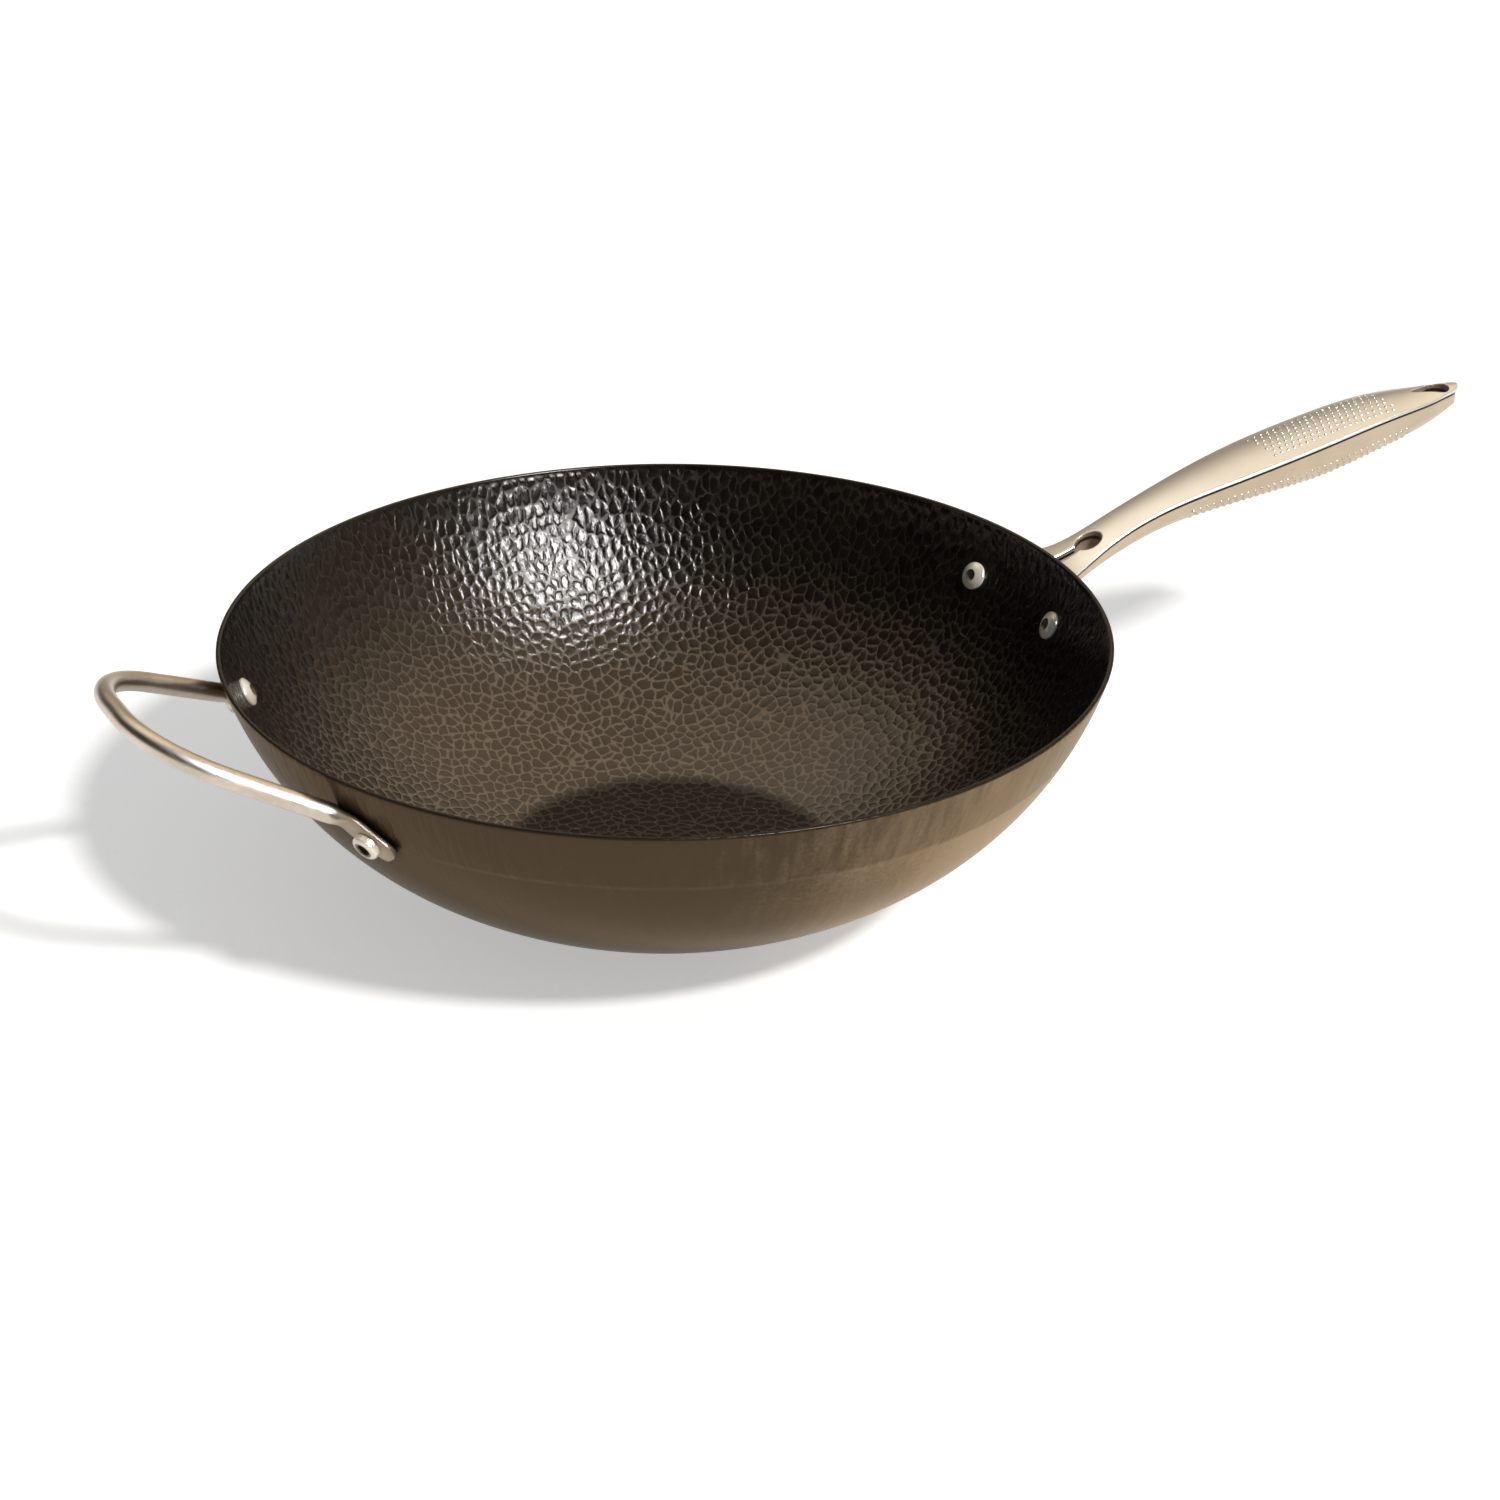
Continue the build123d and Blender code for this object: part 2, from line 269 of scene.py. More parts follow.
class Wiring:
    """Adds shader nodes to one tree and joins them. A value is a socket or a plain number."""

    def __init__(self, tree: Tree) -> None:
        """Keeps the tree."""
        self.tree = tree

    def feed(self, node: bpy.types.Node, inputs: dict) -> None:
        """Sets or links inputs of a node.

        Args:
            node: the node.
            inputs: value for each named or numbered input.
        """
        for key, value in inputs.items():
            if isinstance(value, Socket):
                self.tree.links.new(value, node.inputs[key])
            else:
                node.inputs[key].default_value = value

    def add(self, kind: str, inputs: dict | None = None, **settings: object) -> bpy.types.Node:
        """Adds a node.

        Args:
            kind: node type without its ShaderNode prefix.
            inputs: value for each named or numbered input.
            settings: properties of the node.

        Returns:
            The node.
        """
        node = self.tree.nodes.new("ShaderNode" + kind)
        for key, value in settings.items():
            setattr(node, key, value)
        self.feed(node, inputs or {})
        return node

    def math(self, operation: str, *values: Value, clamp: bool = False) -> Socket:
        """Result of a Math node."""
        return self.add("Math", dict(enumerate(values)), operation=operation, use_clamp=clamp).outputs[0]

    def times(self, *values: Value) -> Socket:
        """Product of values."""
        return reduce(lambda first, second: self.math("MULTIPLY", first, second), values)

    def plus(self, first: Value, second: Value) -> Socket:
        """Sum of two values."""
        return self.math("ADD", first, second)

    def less(self, first: Value, second: Value) -> Socket:
        """First value less the second."""
        return self.math("SUBTRACT", first, second)

    def over(self, first: Value, second: Value) -> Socket:
        """First value divided by the second."""
        return self.math("DIVIDE", first, second)

    def vector(self, operation: str, *values: Value) -> Socket:
        """Vector that a Vector Math node gives."""
        return self.add("VectorMath", dict(enumerate(values)), operation=operation).outputs[0]

    def scaled(self, vector: Value, scale: Value) -> Socket:
        """Vector times a value."""
        return self.add("VectorMath", {0: vector, "Scale": scale}, operation="SCALE").outputs[0]

    def measure(self, operation: str, *values: Value) -> Socket:
        """Number that a Vector Math node gives."""
        return self.add("VectorMath", dict(enumerate(values)), operation=operation).outputs["Value"]

    def split(self, vector: Value) -> object:
        """Outputs X, Y and Z of a vector."""
        return self.add("SeparateXYZ", {"Vector": vector}).outputs

    def ramp(
        self,
        value: Value,
        low: Value,
        high: Value,
        start: float = 0.0,
        end: float = 1.0,
        way: str = "SMOOTHSTEP",
    ) -> Socket:
        """Value carried from the low-high range to the start-end range and held outside it."""
        limits = {"Value": value, "From Min": low, "From Max": high, "To Min": start, "To Max": end}
        return self.add("MapRange", limits, interpolation_type=way).outputs[0]

    def mix(self, share: Value, first: Value, second: Value) -> Socket:
        """Colour between two colours."""
        return self.add("Mix", {"Factor": share, 6: first, 7: second}, data_type="RGBA").outputs[2]

    def mix_value(self, share: Value, first: Value, second: Value) -> Socket:
        """Value between two values."""
        return self.add("Mix", {0: share, 2: first, 3: second}, data_type="FLOAT").outputs[0]

    def noise(self, place: Value, scale: Value, detail: float = 2.0, rough: float = 0.5) -> Socket:
        """Noise value at a place."""
        inputs = {"Vector": place, "Scale": scale, "Detail": detail, "Roughness": rough}
        return self.add("TexNoise", inputs).outputs[0]

    def grained(self, place: Value, stretch: tuple, blotch_scale: float) -> object:
        """Outputs of the shared grain, drawn out by a stretch."""
        inputs = {"Place": place, "Stretch": stretch, "Blotch Scale": blotch_scale}
        return self.add("Group", inputs, node_tree=grain_group()).outputs

    def bump(
        self, height: Value, distance: float, strength: float = 1.0, normal: Socket | None = None
    ) -> Socket:
        """Normal of a surface raised by a height over a distance."""
        inputs = {"Height": height, "Distance": distance, "Strength": strength}
        return self.add("Bump", inputs | ({"Normal": normal} if normal else {})).outputs[0]


def effect_group(
    name: str, inputs: dict[str, str], outputs: tuple[str, ...]
) -> tuple[Wiring, object, bpy.types.Node]:
    """Empty node group with named sockets.

    Args:
        name: name of the group.
        inputs: kind of each input, Vector or Float.
        outputs: names of the outputs, each a number.

    Returns:
        The group's wiring, its input sockets and its output node.
    """
    tree = bpy.data.node_groups.new(name, "ShaderNodeTree")
    for label, kind in inputs.items():
        tree.interface.new_socket(label, in_out="INPUT", socket_type="NodeSocket" + kind)
    for label in outputs:
        tree.interface.new_socket(label, in_out="OUTPUT", socket_type="NodeSocketFloat")
    entry = tree.nodes.new("NodeGroupInput")
    return Wiring(tree), entry.outputs, tree.nodes.new("NodeGroupOutput")


@cache
def pebble_group() -> Tree:
    """Rounded pebbles with narrow grooves between them, as seasoned textured steel has.

    The bowl is spread flat, each point as far out as its distance from the axis and a share of its
    height, so that the cells stand taller up the wall. The spread place is divided by the cell size,
    pushed about by noise, and looked up in a flat cell pattern. The relief is one less a mix of two
    squares: of a falloff of half the difference of the distances to the two nearest cell middles, and of
    the distance to the nearest one. The groove is a narrow falloff of the first value.

    Returns:
        The node group, built once.
    """
    inputs = {"Place": "Vector", "Cell": "Float", "Groove Width": "Float"}
    wire, into, leave = effect_group("pebbled_steel", inputs, ("Groove", "Relief", "Tone"))
    floor_height, lift_share, least_reach = 1.6 * MM, 0.42, 0.5 * MM
    noise_scales, noise_pushes = (0.45, 1.9), (0.9, 0.48)
    uneven, edge_reach, dome_reach, dome_share = 0.85, 0.42, 0.62, 0.55
    part = wire.split(into["Place"])
    flat = wire.add("CombineXYZ", {"X": part["X"], "Y": part["Y"]}).outputs[0]
    reach = wire.math("MAXIMUM", wire.measure("LENGTH", flat), least_reach)
    lift = wire.times(wire.less(part["Z"], floor_height), lift_share)
    place = wire.scaled(flat, wire.over(wire.over(wire.plus(reach, lift), reach), into["Cell"]))
    moved = place
    for scale, push in zip(noise_scales, noise_pushes):
        noise = wire.add("TexNoise", {"Vector": place, "Scale": scale}).outputs["Color"]
        shift = wire.scaled(wire.vector("SUBTRACT", noise, (0.5, 0.5, 0.5)), push)
        moved = wire.vector("ADD", moved, shift)
    cells = {"Vector": moved, "Scale": 1.0, "Randomness": uneven}
    near, next_near = (
        wire.add("TexVoronoi", cells, feature=kind, voronoi_dimensions="2D").outputs
        for kind in ("F1", "F2")
    )
    distance = wire.times(wire.less(next_near["Distance"], near["Distance"]), 0.5)
    edge = wire.math("POWER", wire.ramp(distance, 0.0, edge_reach, 1.0, 0.0), 2.0)
    dome = wire.math("POWER", wire.over(near["Distance"], dome_reach), 2.0, clamp=True)
    results = {
        "Groove": wire.ramp(distance, 0.0, into["Groove Width"], 1.0, 0.0, "SMOOTHERSTEP"),
        "Relief": wire.less(1.0, wire.mix_value(dome_share, edge, dome)),
        "Tone": wire.add("SeparateColor", {"Color": near["Color"]}).outputs[0],
    }
    wire.feed(leave, results)
    return wire.tree


@cache
def grain_group() -> Tree:
    """Fine even grain and slow blotches of tone that every metal here has.

    Returns:
        The node group, built once, with Grain and Blotch from 0 to 1.
    """
    inputs = {"Place": "Vector", "Stretch": "Vector", "Blotch Scale": "Float"}
    wire, into, leave = effect_group("metal_grain", inputs, ("Grain", "Blotch"))
    detail, grain_rough = 3.0, 0.65
    grain = wire.noise(wire.vector("MULTIPLY", into["Place"], into["Stretch"]), 1.0, detail, grain_rough)
    wire.feed(leave, {"Grain": grain, "Blotch": wire.noise(into["Place"], into["Blotch Scale"])})
    return wire.tree


def start_material(name: str) -> tuple[Material, Wiring, bpy.types.Node, Socket]:
    """New material with a Principled shader.

    Args:
        name: name of the material.

    Returns:
        The material, its wiring, the shader node and the Object coordinates.
    """
    material = bpy.data.materials.new(name)
    material.use_nodes = True
    wire = Wiring(material.node_tree)
    shader = material.node_tree.nodes["Principled BSDF"]
    return material, wire, shader, wire.add("TexCoord").outputs["Object"]


@dataclass(frozen=True)
class Spots:
    """Round marks on a surface, each a spot of painted shade, such as the contact shadow round a rivet
    head.
    """

    places: tuple
    radius: float
    soft: float = 1.2 * MM

    def mask(self, wire: Wiring, place: Value) -> Socket:
        """Mask that is 1 within the radius of any of the places.

        Args:
            wire: wiring of the material.
            place: Object coordinates.

        Returns:
            The mask's socket.
        """
        gaps = [wire.measure("DISTANCE", place, tuple(spot)) for spot in self.places]
        nearest = reduce(lambda first, second: wire.math("MINIMUM", first, second), gaps)
        return wire.ramp(nearest, self.radius - self.soft, self.radius + self.soft, 1.0, 0.0)


@dataclass(frozen=True)
class SeasonedInside:
    """Dark seasoned steel covered in rounded pebbles, smooth beside the rim.

    Each zone is a span of heights and what a mask is below and above it.
    """

    core: tuple = (0.0085, 0.0063, 0.0046, 1.0)
    core_dark: tuple = (0.005, 0.0037, 0.0029, 1.0)
    # The low tone is a painted warm reflection of the overhead light on the lower wall.
    low_warm_reflection: tuple = (0.05, 0.037, 0.0255, 1.0)
    groove: tuple = (0.15, 0.112, 0.077, 1.0)
    sheen: tuple = (1.0, 0.83, 0.65, 1.0)
    cell_size: float = 4.6 * MM
    groove_width: float = 0.14
    groove_share: float = 0.8
    relief: float = 0.24 * MM
    grain_stretch: tuple = (900.0, 900.0, 900.0)
    grain_relief: tuple = (0.02 * MM, 0.6)
    blotch_scale: float = 28.0
    cell_tone: float = 0.4
    tone_span: tuple = (0.25, 0.7)
    roughness: float = 0.16
    grain_rough: float = 0.1
    groove_rough: float = 0.2
    shine: float = 0.46
    smooth_zone: tuple = (92.0 * MM, 94.4 * MM, 1.0, 0.0)
    edge_zone: tuple = (94.3 * MM, 94.7 * MM)
    warm_reflection_zone: tuple = (12.0 * MM, 62.0 * MM, 0.5, 0.0)
    groove_fade_zone: tuple = (12.0 * MM, 68.0 * MM, 1.0, 0.05)
    tall_zone: tuple = (8.0 * MM, 55.0 * MM, 0.55, 1.0)
    disc_zone: tuple = (1.7 * MM, 3.6 * MM, 0.2, 1.0)
    disc_shine: float = 0.45

    def make(self, rings: Spots) -> Material:
        """Builds the material.

        Args:
            rings: painted contact shadow round the rivet heads.

        Returns:
            The material.
        """
        material, wire, shader, place = start_material("seasoned_inside")
        inputs = {"Place": place, "Cell": self.cell_size, "Groove Width": self.groove_width}
        pebble = wire.add("Group", inputs, node_tree=pebble_group()).outputs
        grain = wire.grained(place, self.grain_stretch, self.blotch_scale)
        height = wire.split(place)["Z"]
        worn = wire.ramp(height, *self.smooth_zone)
        disc = wire.ramp(height, *self.disc_zone)
        # Painted contact shadow: the colour goes dark round each rivet head.
        ring = rings.mask(wire, place)
        tone = wire.mix_value(self.cell_tone, grain["Blotch"], pebble["Tone"])
        body = wire.mix(wire.ramp(tone, *self.tone_span), self.core_dark, self.core)
        # Painted reflection: the lower wall is tinted by the warm light overhead, fading up the wall.
        body = wire.mix(wire.ramp(height, *self.warm_reflection_zone), body, self.low_warm_reflection)
        body = wire.mix(disc, self.core, body)
        groove = wire.times(pebble["Groove"], worn, self.groove_share)
        # The grooves' paler colour fades out up the wall and on the disc.
        groove_shown = wire.times(wire.ramp(height, *self.groove_fade_zone), disc)
        colour = wire.mix(wire.times(groove, groove_shown), body, self.groove)
        colour = wire.mix(wire.ramp(height, *self.edge_zone), colour, self.core_dark)
        relief = wire.times(pebble["Relief"], wire.times(worn, wire.ramp(height, *self.tall_zone)))
        rough = wire.plus(wire.times(grain["Grain"], self.grain_rough), self.roughness)
        marked = wire.times(wire.math("MAXIMUM", groove, ring), self.groove_rough)
        shine = wire.ramp(disc, self.disc_zone[2], 1.0, self.disc_shine, 1.0)
        finish = {
            "Base Color": wire.mix(ring, colour, self.core_dark),
            "Roughness": wire.plus(rough, marked),
            "Normal": wire.bump(grain["Grain"], *self.grain_relief, wire.bump(relief, self.relief)),
            "Specular IOR Level": wire.times(shine, self.shine),
            "Specular Tint": self.sheen,
        }
        wire.feed(shader, finish)
        return material


@dataclass(frozen=True)
class BronzedOutside:
    """Smooth steel bronzed by heating, faintly beaten in a band below the rim, with painted shade on one
    side and at the foot.

    Each zone is a span of heights, or for the side shade a span along the handles, and what a mask is
    before and after it.
    """

    light: tuple = (0.4, 0.29, 0.178, 1.0)
    dark: tuple = (0.062, 0.04, 0.022, 1.0)
    edge: tuple = (0.02, 0.014, 0.009, 1.0)
    grazing: tuple = (0.6, 0.5, 0.38, 1.0)
    metallic: float = 0.65
    roughness: float = 0.25
    grain_rough: float = 0.14
    grain_stretch: tuple = (700.0, 700.0, 700.0)
    blotch_scale: float = 14.0
    mark_scales: tuple = (38.0, 60.0)
    beaten_share: float = 0.8
    grain_share: float = 0.35
    tone_span: tuple = (0.2, 0.85)
    side_shade_zone: tuple = (-0.17, 0.14, -0.6, 0.4)
    foot_shade_zone: tuple = (3.0 * MM, 16.0 * MM, 0.6, 0.0)
    band_zone: tuple = (70.8 * MM, 73.2 * MM)
    band_share: float = 0.46
    below_band: float = 0.25
    edge_zone: tuple = (93.9 * MM, 94.3 * MM)
    step_relief: tuple = (0.06 * MM, 0.5)
    beaten_relief: tuple = (0.75 * MM, 0.8)
    grain_relief: tuple = (0.012 * MM, 0.5)

    def make(self, rod_shadow: Spots) -> Material:
        """Builds the material.

        Args:
            rod_shadow: painted shadow of the rod round the helper handle's ends.

        Returns:
            The material.
        """
        material, wire, shader, place = start_material("bronzed_outside")
        grain = wire.grained(place, self.grain_stretch, self.blotch_scale)
        part = wire.split(place)
        height = part["Z"]
        turn = wire.math("ARCTAN2", part["Y"], part["X"])
        around, upward = self.mark_scales
        spread = {
            "X": wire.times(wire.math("SINE", turn), around),
            "Y": wire.times(wire.math("COSINE", turn), around),
            "Z": wire.times(height, upward),
        }
        beaten = wire.noise(wire.add("CombineXYZ", spread).outputs[0], 1.0)
        band = wire.ramp(height, *self.band_zone)
        shown = wire.plus(wire.times(band, 1.0 - self.below_band), self.below_band)
        tone = wire.mix(wire.times(shown, self.beaten_share), grain["Blotch"], beaten)
        tone = wire.mix(self.grain_share, tone, grain["Grain"])
        # Painted shade: darker towards the helper handle and lighter towards the long handle, as the key
        # light falls.
        tone = wire.plus(tone, wire.ramp(part["X"], *self.side_shade_zone))
        colour = wire.mix(wire.ramp(tone, *self.tone_span), self.dark, self.light)
        # Painted shade near the foot, where the wall reflects the shadowed floor.
        colour = wire.mix(wire.ramp(height, *self.foot_shade_zone), colour, self.dark)
        colour = wire.mix(wire.times(band, self.band_share), colour, self.dark)
        # Painted shadow of the rod on the wall round its ends, in the dark edge colour.
        colour = wire.mix(rod_shadow.mask(wire, place), colour, self.edge)
        step = wire.bump(band, *self.step_relief)
        soft = wire.bump(wire.times(beaten, shown), *self.beaten_relief, step)
        finish = {
            "Base Color": wire.mix(wire.ramp(height, *self.edge_zone), colour, self.edge),
            "Roughness": wire.plus(wire.times(grain["Grain"], self.grain_rough), self.roughness),
            "Normal": wire.bump(grain["Grain"], *self.grain_relief, soft),
            "Metallic": self.metallic,
            "Specular Tint": self.grazing,
        }
        wire.feed(shader, finish)
        return material


@dataclass(frozen=True)
class SatinSteel:
    """Stainless steel brushed one way."""

    name: str
    light: tuple
    dark: tuple
    stretch: tuple
    roughness: float
    scratch: float
    metallic: float = 1.0
    # Painted shade at the marks: its colour and how metallic it is.
    shade_colour: tuple = (0.38, 0.285, 0.19, 1.0)
    shade_metal: float = 0.35
    blotch_scale: float = 45.0
    grain_tone: float = 0.4
    tone_span: tuple = (0.3, 0.7)
    grain_rough: float = 0.1
    scratch_share: float = 0.6

    def make(self, seam_shade_and_holes: "SeamShadeAndHoles | None" = None, marks: Spots | None = None) -> Material:
        """Builds the material.

        Args:
            seam_shade_and_holes: painted shade in the seam and the darker walls of the holes, or None.
            marks: where painted shade darkens it, or None.

        Returns:
            The material.
        """
        material, wire, shader, place = start_material(self.name)
        grain = wire.grained(place, self.stretch, self.blotch_scale)
        tone = wire.mix_value(self.grain_tone, grain["Blotch"], grain["Grain"])
        colour = wire.mix(wire.ramp(tone, *self.tone_span), self.dark, self.light)
        metal = self.metallic
        if marks:
            # Painted shade at the marks: darker colour and less metal.
            shade_mask = marks.mask(wire, place)
            colour = wire.mix(shade_mask, colour, self.shade_colour)
            metal = wire.times(wire.ramp(shade_mask, 0.0, 1.0, 1.0, self.shade_metal), metal)
        if seam_shade_and_holes:
            colour, dull = seam_shade_and_holes.darken(wire, place, colour)
            metal = wire.times(wire.less(1.0, dull), metal)
        even_rough = self.roughness - self.grain_rough / 2
        finish = {
            "Base Color": colour,
            "Roughness": wire.plus(wire.times(grain["Grain"], self.grain_rough), even_rough),
            "Normal": wire.bump(grain["Grain"], self.scratch, self.scratch_share),
            "Metallic": metal,
        }
        wire.feed(shader, finish)
        return material


ALONG = (60.0, 1500.0, 1500.0)
EVEN = (900.0, 900.0, 900.0)
CROWN_STEEL = SatinSteel(
    "crown_steel",
    (0.83, 0.795, 0.745, 1.0),
    (0.75, 0.715, 0.665, 1.0),
    ALONG,
    roughness=0.3,
    scratch=0.008 * MM,
)
# The lower shell's warm tan is a painted reflection of a warm floor on the steel.
BELLY_STEEL_WARM_REFLECTION = SatinSteel(
    "belly_steel_painted_reflection",
    (0.61, 0.495, 0.37, 1.0),
    (0.53, 0.425, 0.31, 1.0),
    ALONG,
    roughness=0.32,
    scratch=0.008 * MM,
)
DOT_STEEL = SatinSteel(
    "dot_steel", (0.76, 0.71, 0.65, 1.0), (0.68, 0.63, 0.57, 1.0), EVEN, roughness=0.48, scratch=0.0
)
ROD_STEEL = SatinSteel(
    "rod_steel",
    (0.68, 0.59, 0.49, 1.0),
    (0.54, 0.465, 0.38, 1.0),
    (400.0, 120.0, 400.0),
    roughness=0.36,
    scratch=0.006 * MM,
)
RIVET_STEEL = SatinSteel(
    "rivet_steel",
    (0.92, 0.85, 0.72, 1.0),
    (0.84, 0.76, 0.63, 1.0),
    EVEN,
    roughness=0.24,
    scratch=0.006 * MM,
    metallic=0.3,
    # Painted shade in the middle of each tail.
    shade_colour=(0.15, 0.098, 0.06, 1.0),
)
# Painted shade: a darker copy of the rivet steel for the dimples and bores.
SHADED_PIT_STEEL = SatinSteel(
    "pit_painted_shade",
    (0.14, 0.115, 0.085, 1.0),
    (0.07, 0.056, 0.04, 1.0),
    EVEN,
    roughness=0.35,
    scratch=0.01 * MM,
    metallic=0.6,
)


@dataclass(frozen=True)
class SeamShadeAndHoles:
    """Painted shade in the groove under the long handle's upper shell, and the darker walls of its two
    holes.
    """

    handle: "LongHandle"
    seam_shade_colour: tuple = (0.022, 0.015, 0.011, 1.0)
    hole_colour: tuple = (0.27, 0.19, 0.13, 1.0)
    hole_dull: float = 0.8
    groove_height: float = 1.1 * MM
    lap: float = 0.12 * MM
    root_length: float = 4.0 * MM
    soft: float = 0.3 * MM
    knots: int = 26
    stub: float = 0.1 * MM

    def near(self, wire: Wiring, part: object, line: tuple, radii: tuple) -> Socket:
        """Mask that is 1 within a radius of a line along the handle's middle.

        Args:
            wire: wiring of the material.
            part: X, Y and Z of the place.
            line: places of the line's two ends.
            radii: radius at each end.

        Returns:
            The mask's socket.
        """
        share = wire.ramp(part["X"], *line, way="LINEAR")
        along = wire.less(part["X"], wire.ramp(share, 0.0, 1.0, *line, way="LINEAR"))
        radius = wire.ramp(share, 0.0, 1.0, *radii, way="LINEAR")
        squares = wire.plus(wire.math("POWER", along, 2.0), wire.math("POWER", part["Y"], 2.0))
        return wire.ramp(wire.less(wire.math("SQRT", squares), radius), 0.0, self.soft, 1.0, 0.0)

    def darken(self, wire: Wiring, place: Value, colour: Value) -> tuple[Socket, Socket]:
        """Colour with painted shade in the groove and darkened on the walls of both holes, and where it is
        dull.

        The seam's height is a curve over the place along the handle, read from the handle's own seam.

        Args:
            wire: wiring of the material.
            place: Object coordinates.
            colour: colour of the open steel.

        Returns:
            Sockets of the darkened colour and of the mask of dull places.
        """
        part = wire.split(place)
        handle = self.handle
        start = handle.wall.rim_radius
        base, span = handle.wall.height - handle.rise, 2 * handle.rise
        share = wire.ramp(part["X"], start, start + handle.reach, way="LINEAR")
        curve = wire.add("FloatCurve", {"Value": share})
        known = np.linspace(0.0, 1.0, self.knots)
        heights = (handle.seam(start + known * handle.reach) - base) / span
        points = curve.mapping.curves[0].points
        points[0].location, points[1].location = (known[0], heights[0]), (known[-1], heights[-1])
        for spot in zip(known[1:-1].tolist(), heights[1:-1].tolist()):
            points.new(*spot)
        curve.mapping.update()
        # Painted shade: a dark band just below the seam, in the groove under the upper shell's edge.
        below = wire.less(wire.plus(wire.times(curve.outputs[0], span), base), part["Z"])
        low = wire.ramp(below, self.groove_height, self.groove_height + self.soft, 1.0, 0.0)
        shaft = wire.ramp(part["X"], start, start + self.root_length)
        groove = wire.times(low, wire.ramp(below, -self.lap, 0.0), shaft)
        small, big = handle.hanging_line()
        hang = self.near(wire, part, (small, big), (handle.hole_point, handle.hole_radius))
        centre = handle.place(handle.keyhole_share)
        key = self.near(wire, part, (centre - self.stub, centre), (handle.keyhole_radius,) * 2)
        hole = wire.math("MAXIMUM", hang, key)
        darkened = wire.mix(groove, wire.mix(hole, colour, self.hole_colour), self.seam_shade_colour)
        return darkened, wire.times(hole, self.hole_dull)


# Bowl


@dataclass(frozen=True)
class Wall:
    """The bowl's wall, two arcs that meet without a corner, in the plane through the axis."""

    rim_radius: float = 160.0 * MM
    height: float = 95.2 * MM
    base_radius: float = 60.2 * MM
    thickness: float = 1.6 * MM
    base_angle: float = math.radians(18.2)
    turn_angle: float = math.radians(34.2)
    rim_angle: float = math.radians(74.1)

    def arcs(self) -> tuple[tuple[float, float, float], tuple[float, float, float]]:
        """Centre and radius of the lower and of the upper arc.

        The two radii solve the two linear equations that make the arcs span the distance and the
        height from the base's edge to the rim.

        Returns:
            (distance, height, radius) of each arc.
        """
        start, turn, end = self.base_angle, self.turn_angle, self.rim_angle
        spans = np.array(
            [
                [math.sin(turn) - math.sin(start), math.sin(end) - math.sin(turn)],
                [math.cos(start) - math.cos(turn), math.cos(turn) - math.cos(end)],
            ]
        )
        low, high = np.linalg.solve(spans, [self.rim_radius - self.base_radius, self.height])
        return (
            (self.base_radius - low * math.sin(start), low * math.cos(start), low),
            (self.rim_radius - high * math.sin(end), self.height + high * math.cos(end), high),
        )

    def line(self, slopes: Array, offset: float) -> Array:
        """Distance from the axis and height at each wall slope, moved out by an offset.

        Args:
            slopes: slopes of the wall in radians.
            offset: distance outside the outer face.

        Returns:
            Array of (distance, height).
        """
        low, high = self.arcs()
        upper = slopes > self.turn_angle
        centre = np.where(upper[:, None], high[:2], low[:2])
        radius = np.where(upper, high[2], low[2]) + offset
        return centre + radius[:, None] * columns(np.sin(slopes), -np.cos(slopes))

    def slope_at(self, height: float, offset: float = 0.0) -> float:
        """Slope of the upper arc where it is at a height."""
        _, centre, radius = self.arcs()[1]
        return math.acos((centre - height) / (radius + offset))

    def seat(self, height_share: float, angle: float) -> "Seat":
        """Place on the outer face.

        Args:
            height_share: its share of the wall's height.
            angle: its angle round the axis, from the long handle.

        Returns:
            The place and its directions.
        """
        slope = self.slope_at(self.height * height_share)
        distance, height = self.line(np.array([slope]), 0.0)[0]
        away = np.array([math.cos(angle), math.sin(angle), 0.0])
        along = np.array([-math.sin(angle), math.cos(angle), 0.0])
        normal = away * math.sin(slope) - np.array([0.0, 0.0, math.cos(slope)])
        return Seat(away * distance + np.array([0.0, 0.0, height]), along, np.cross(normal, along), normal)


@dataclass(frozen=True)
class Seat:
    """A place on the wall: its point, two directions along the wall and the outward normal."""

    point: Array
    along: Array
    up: Array
    normal: Array


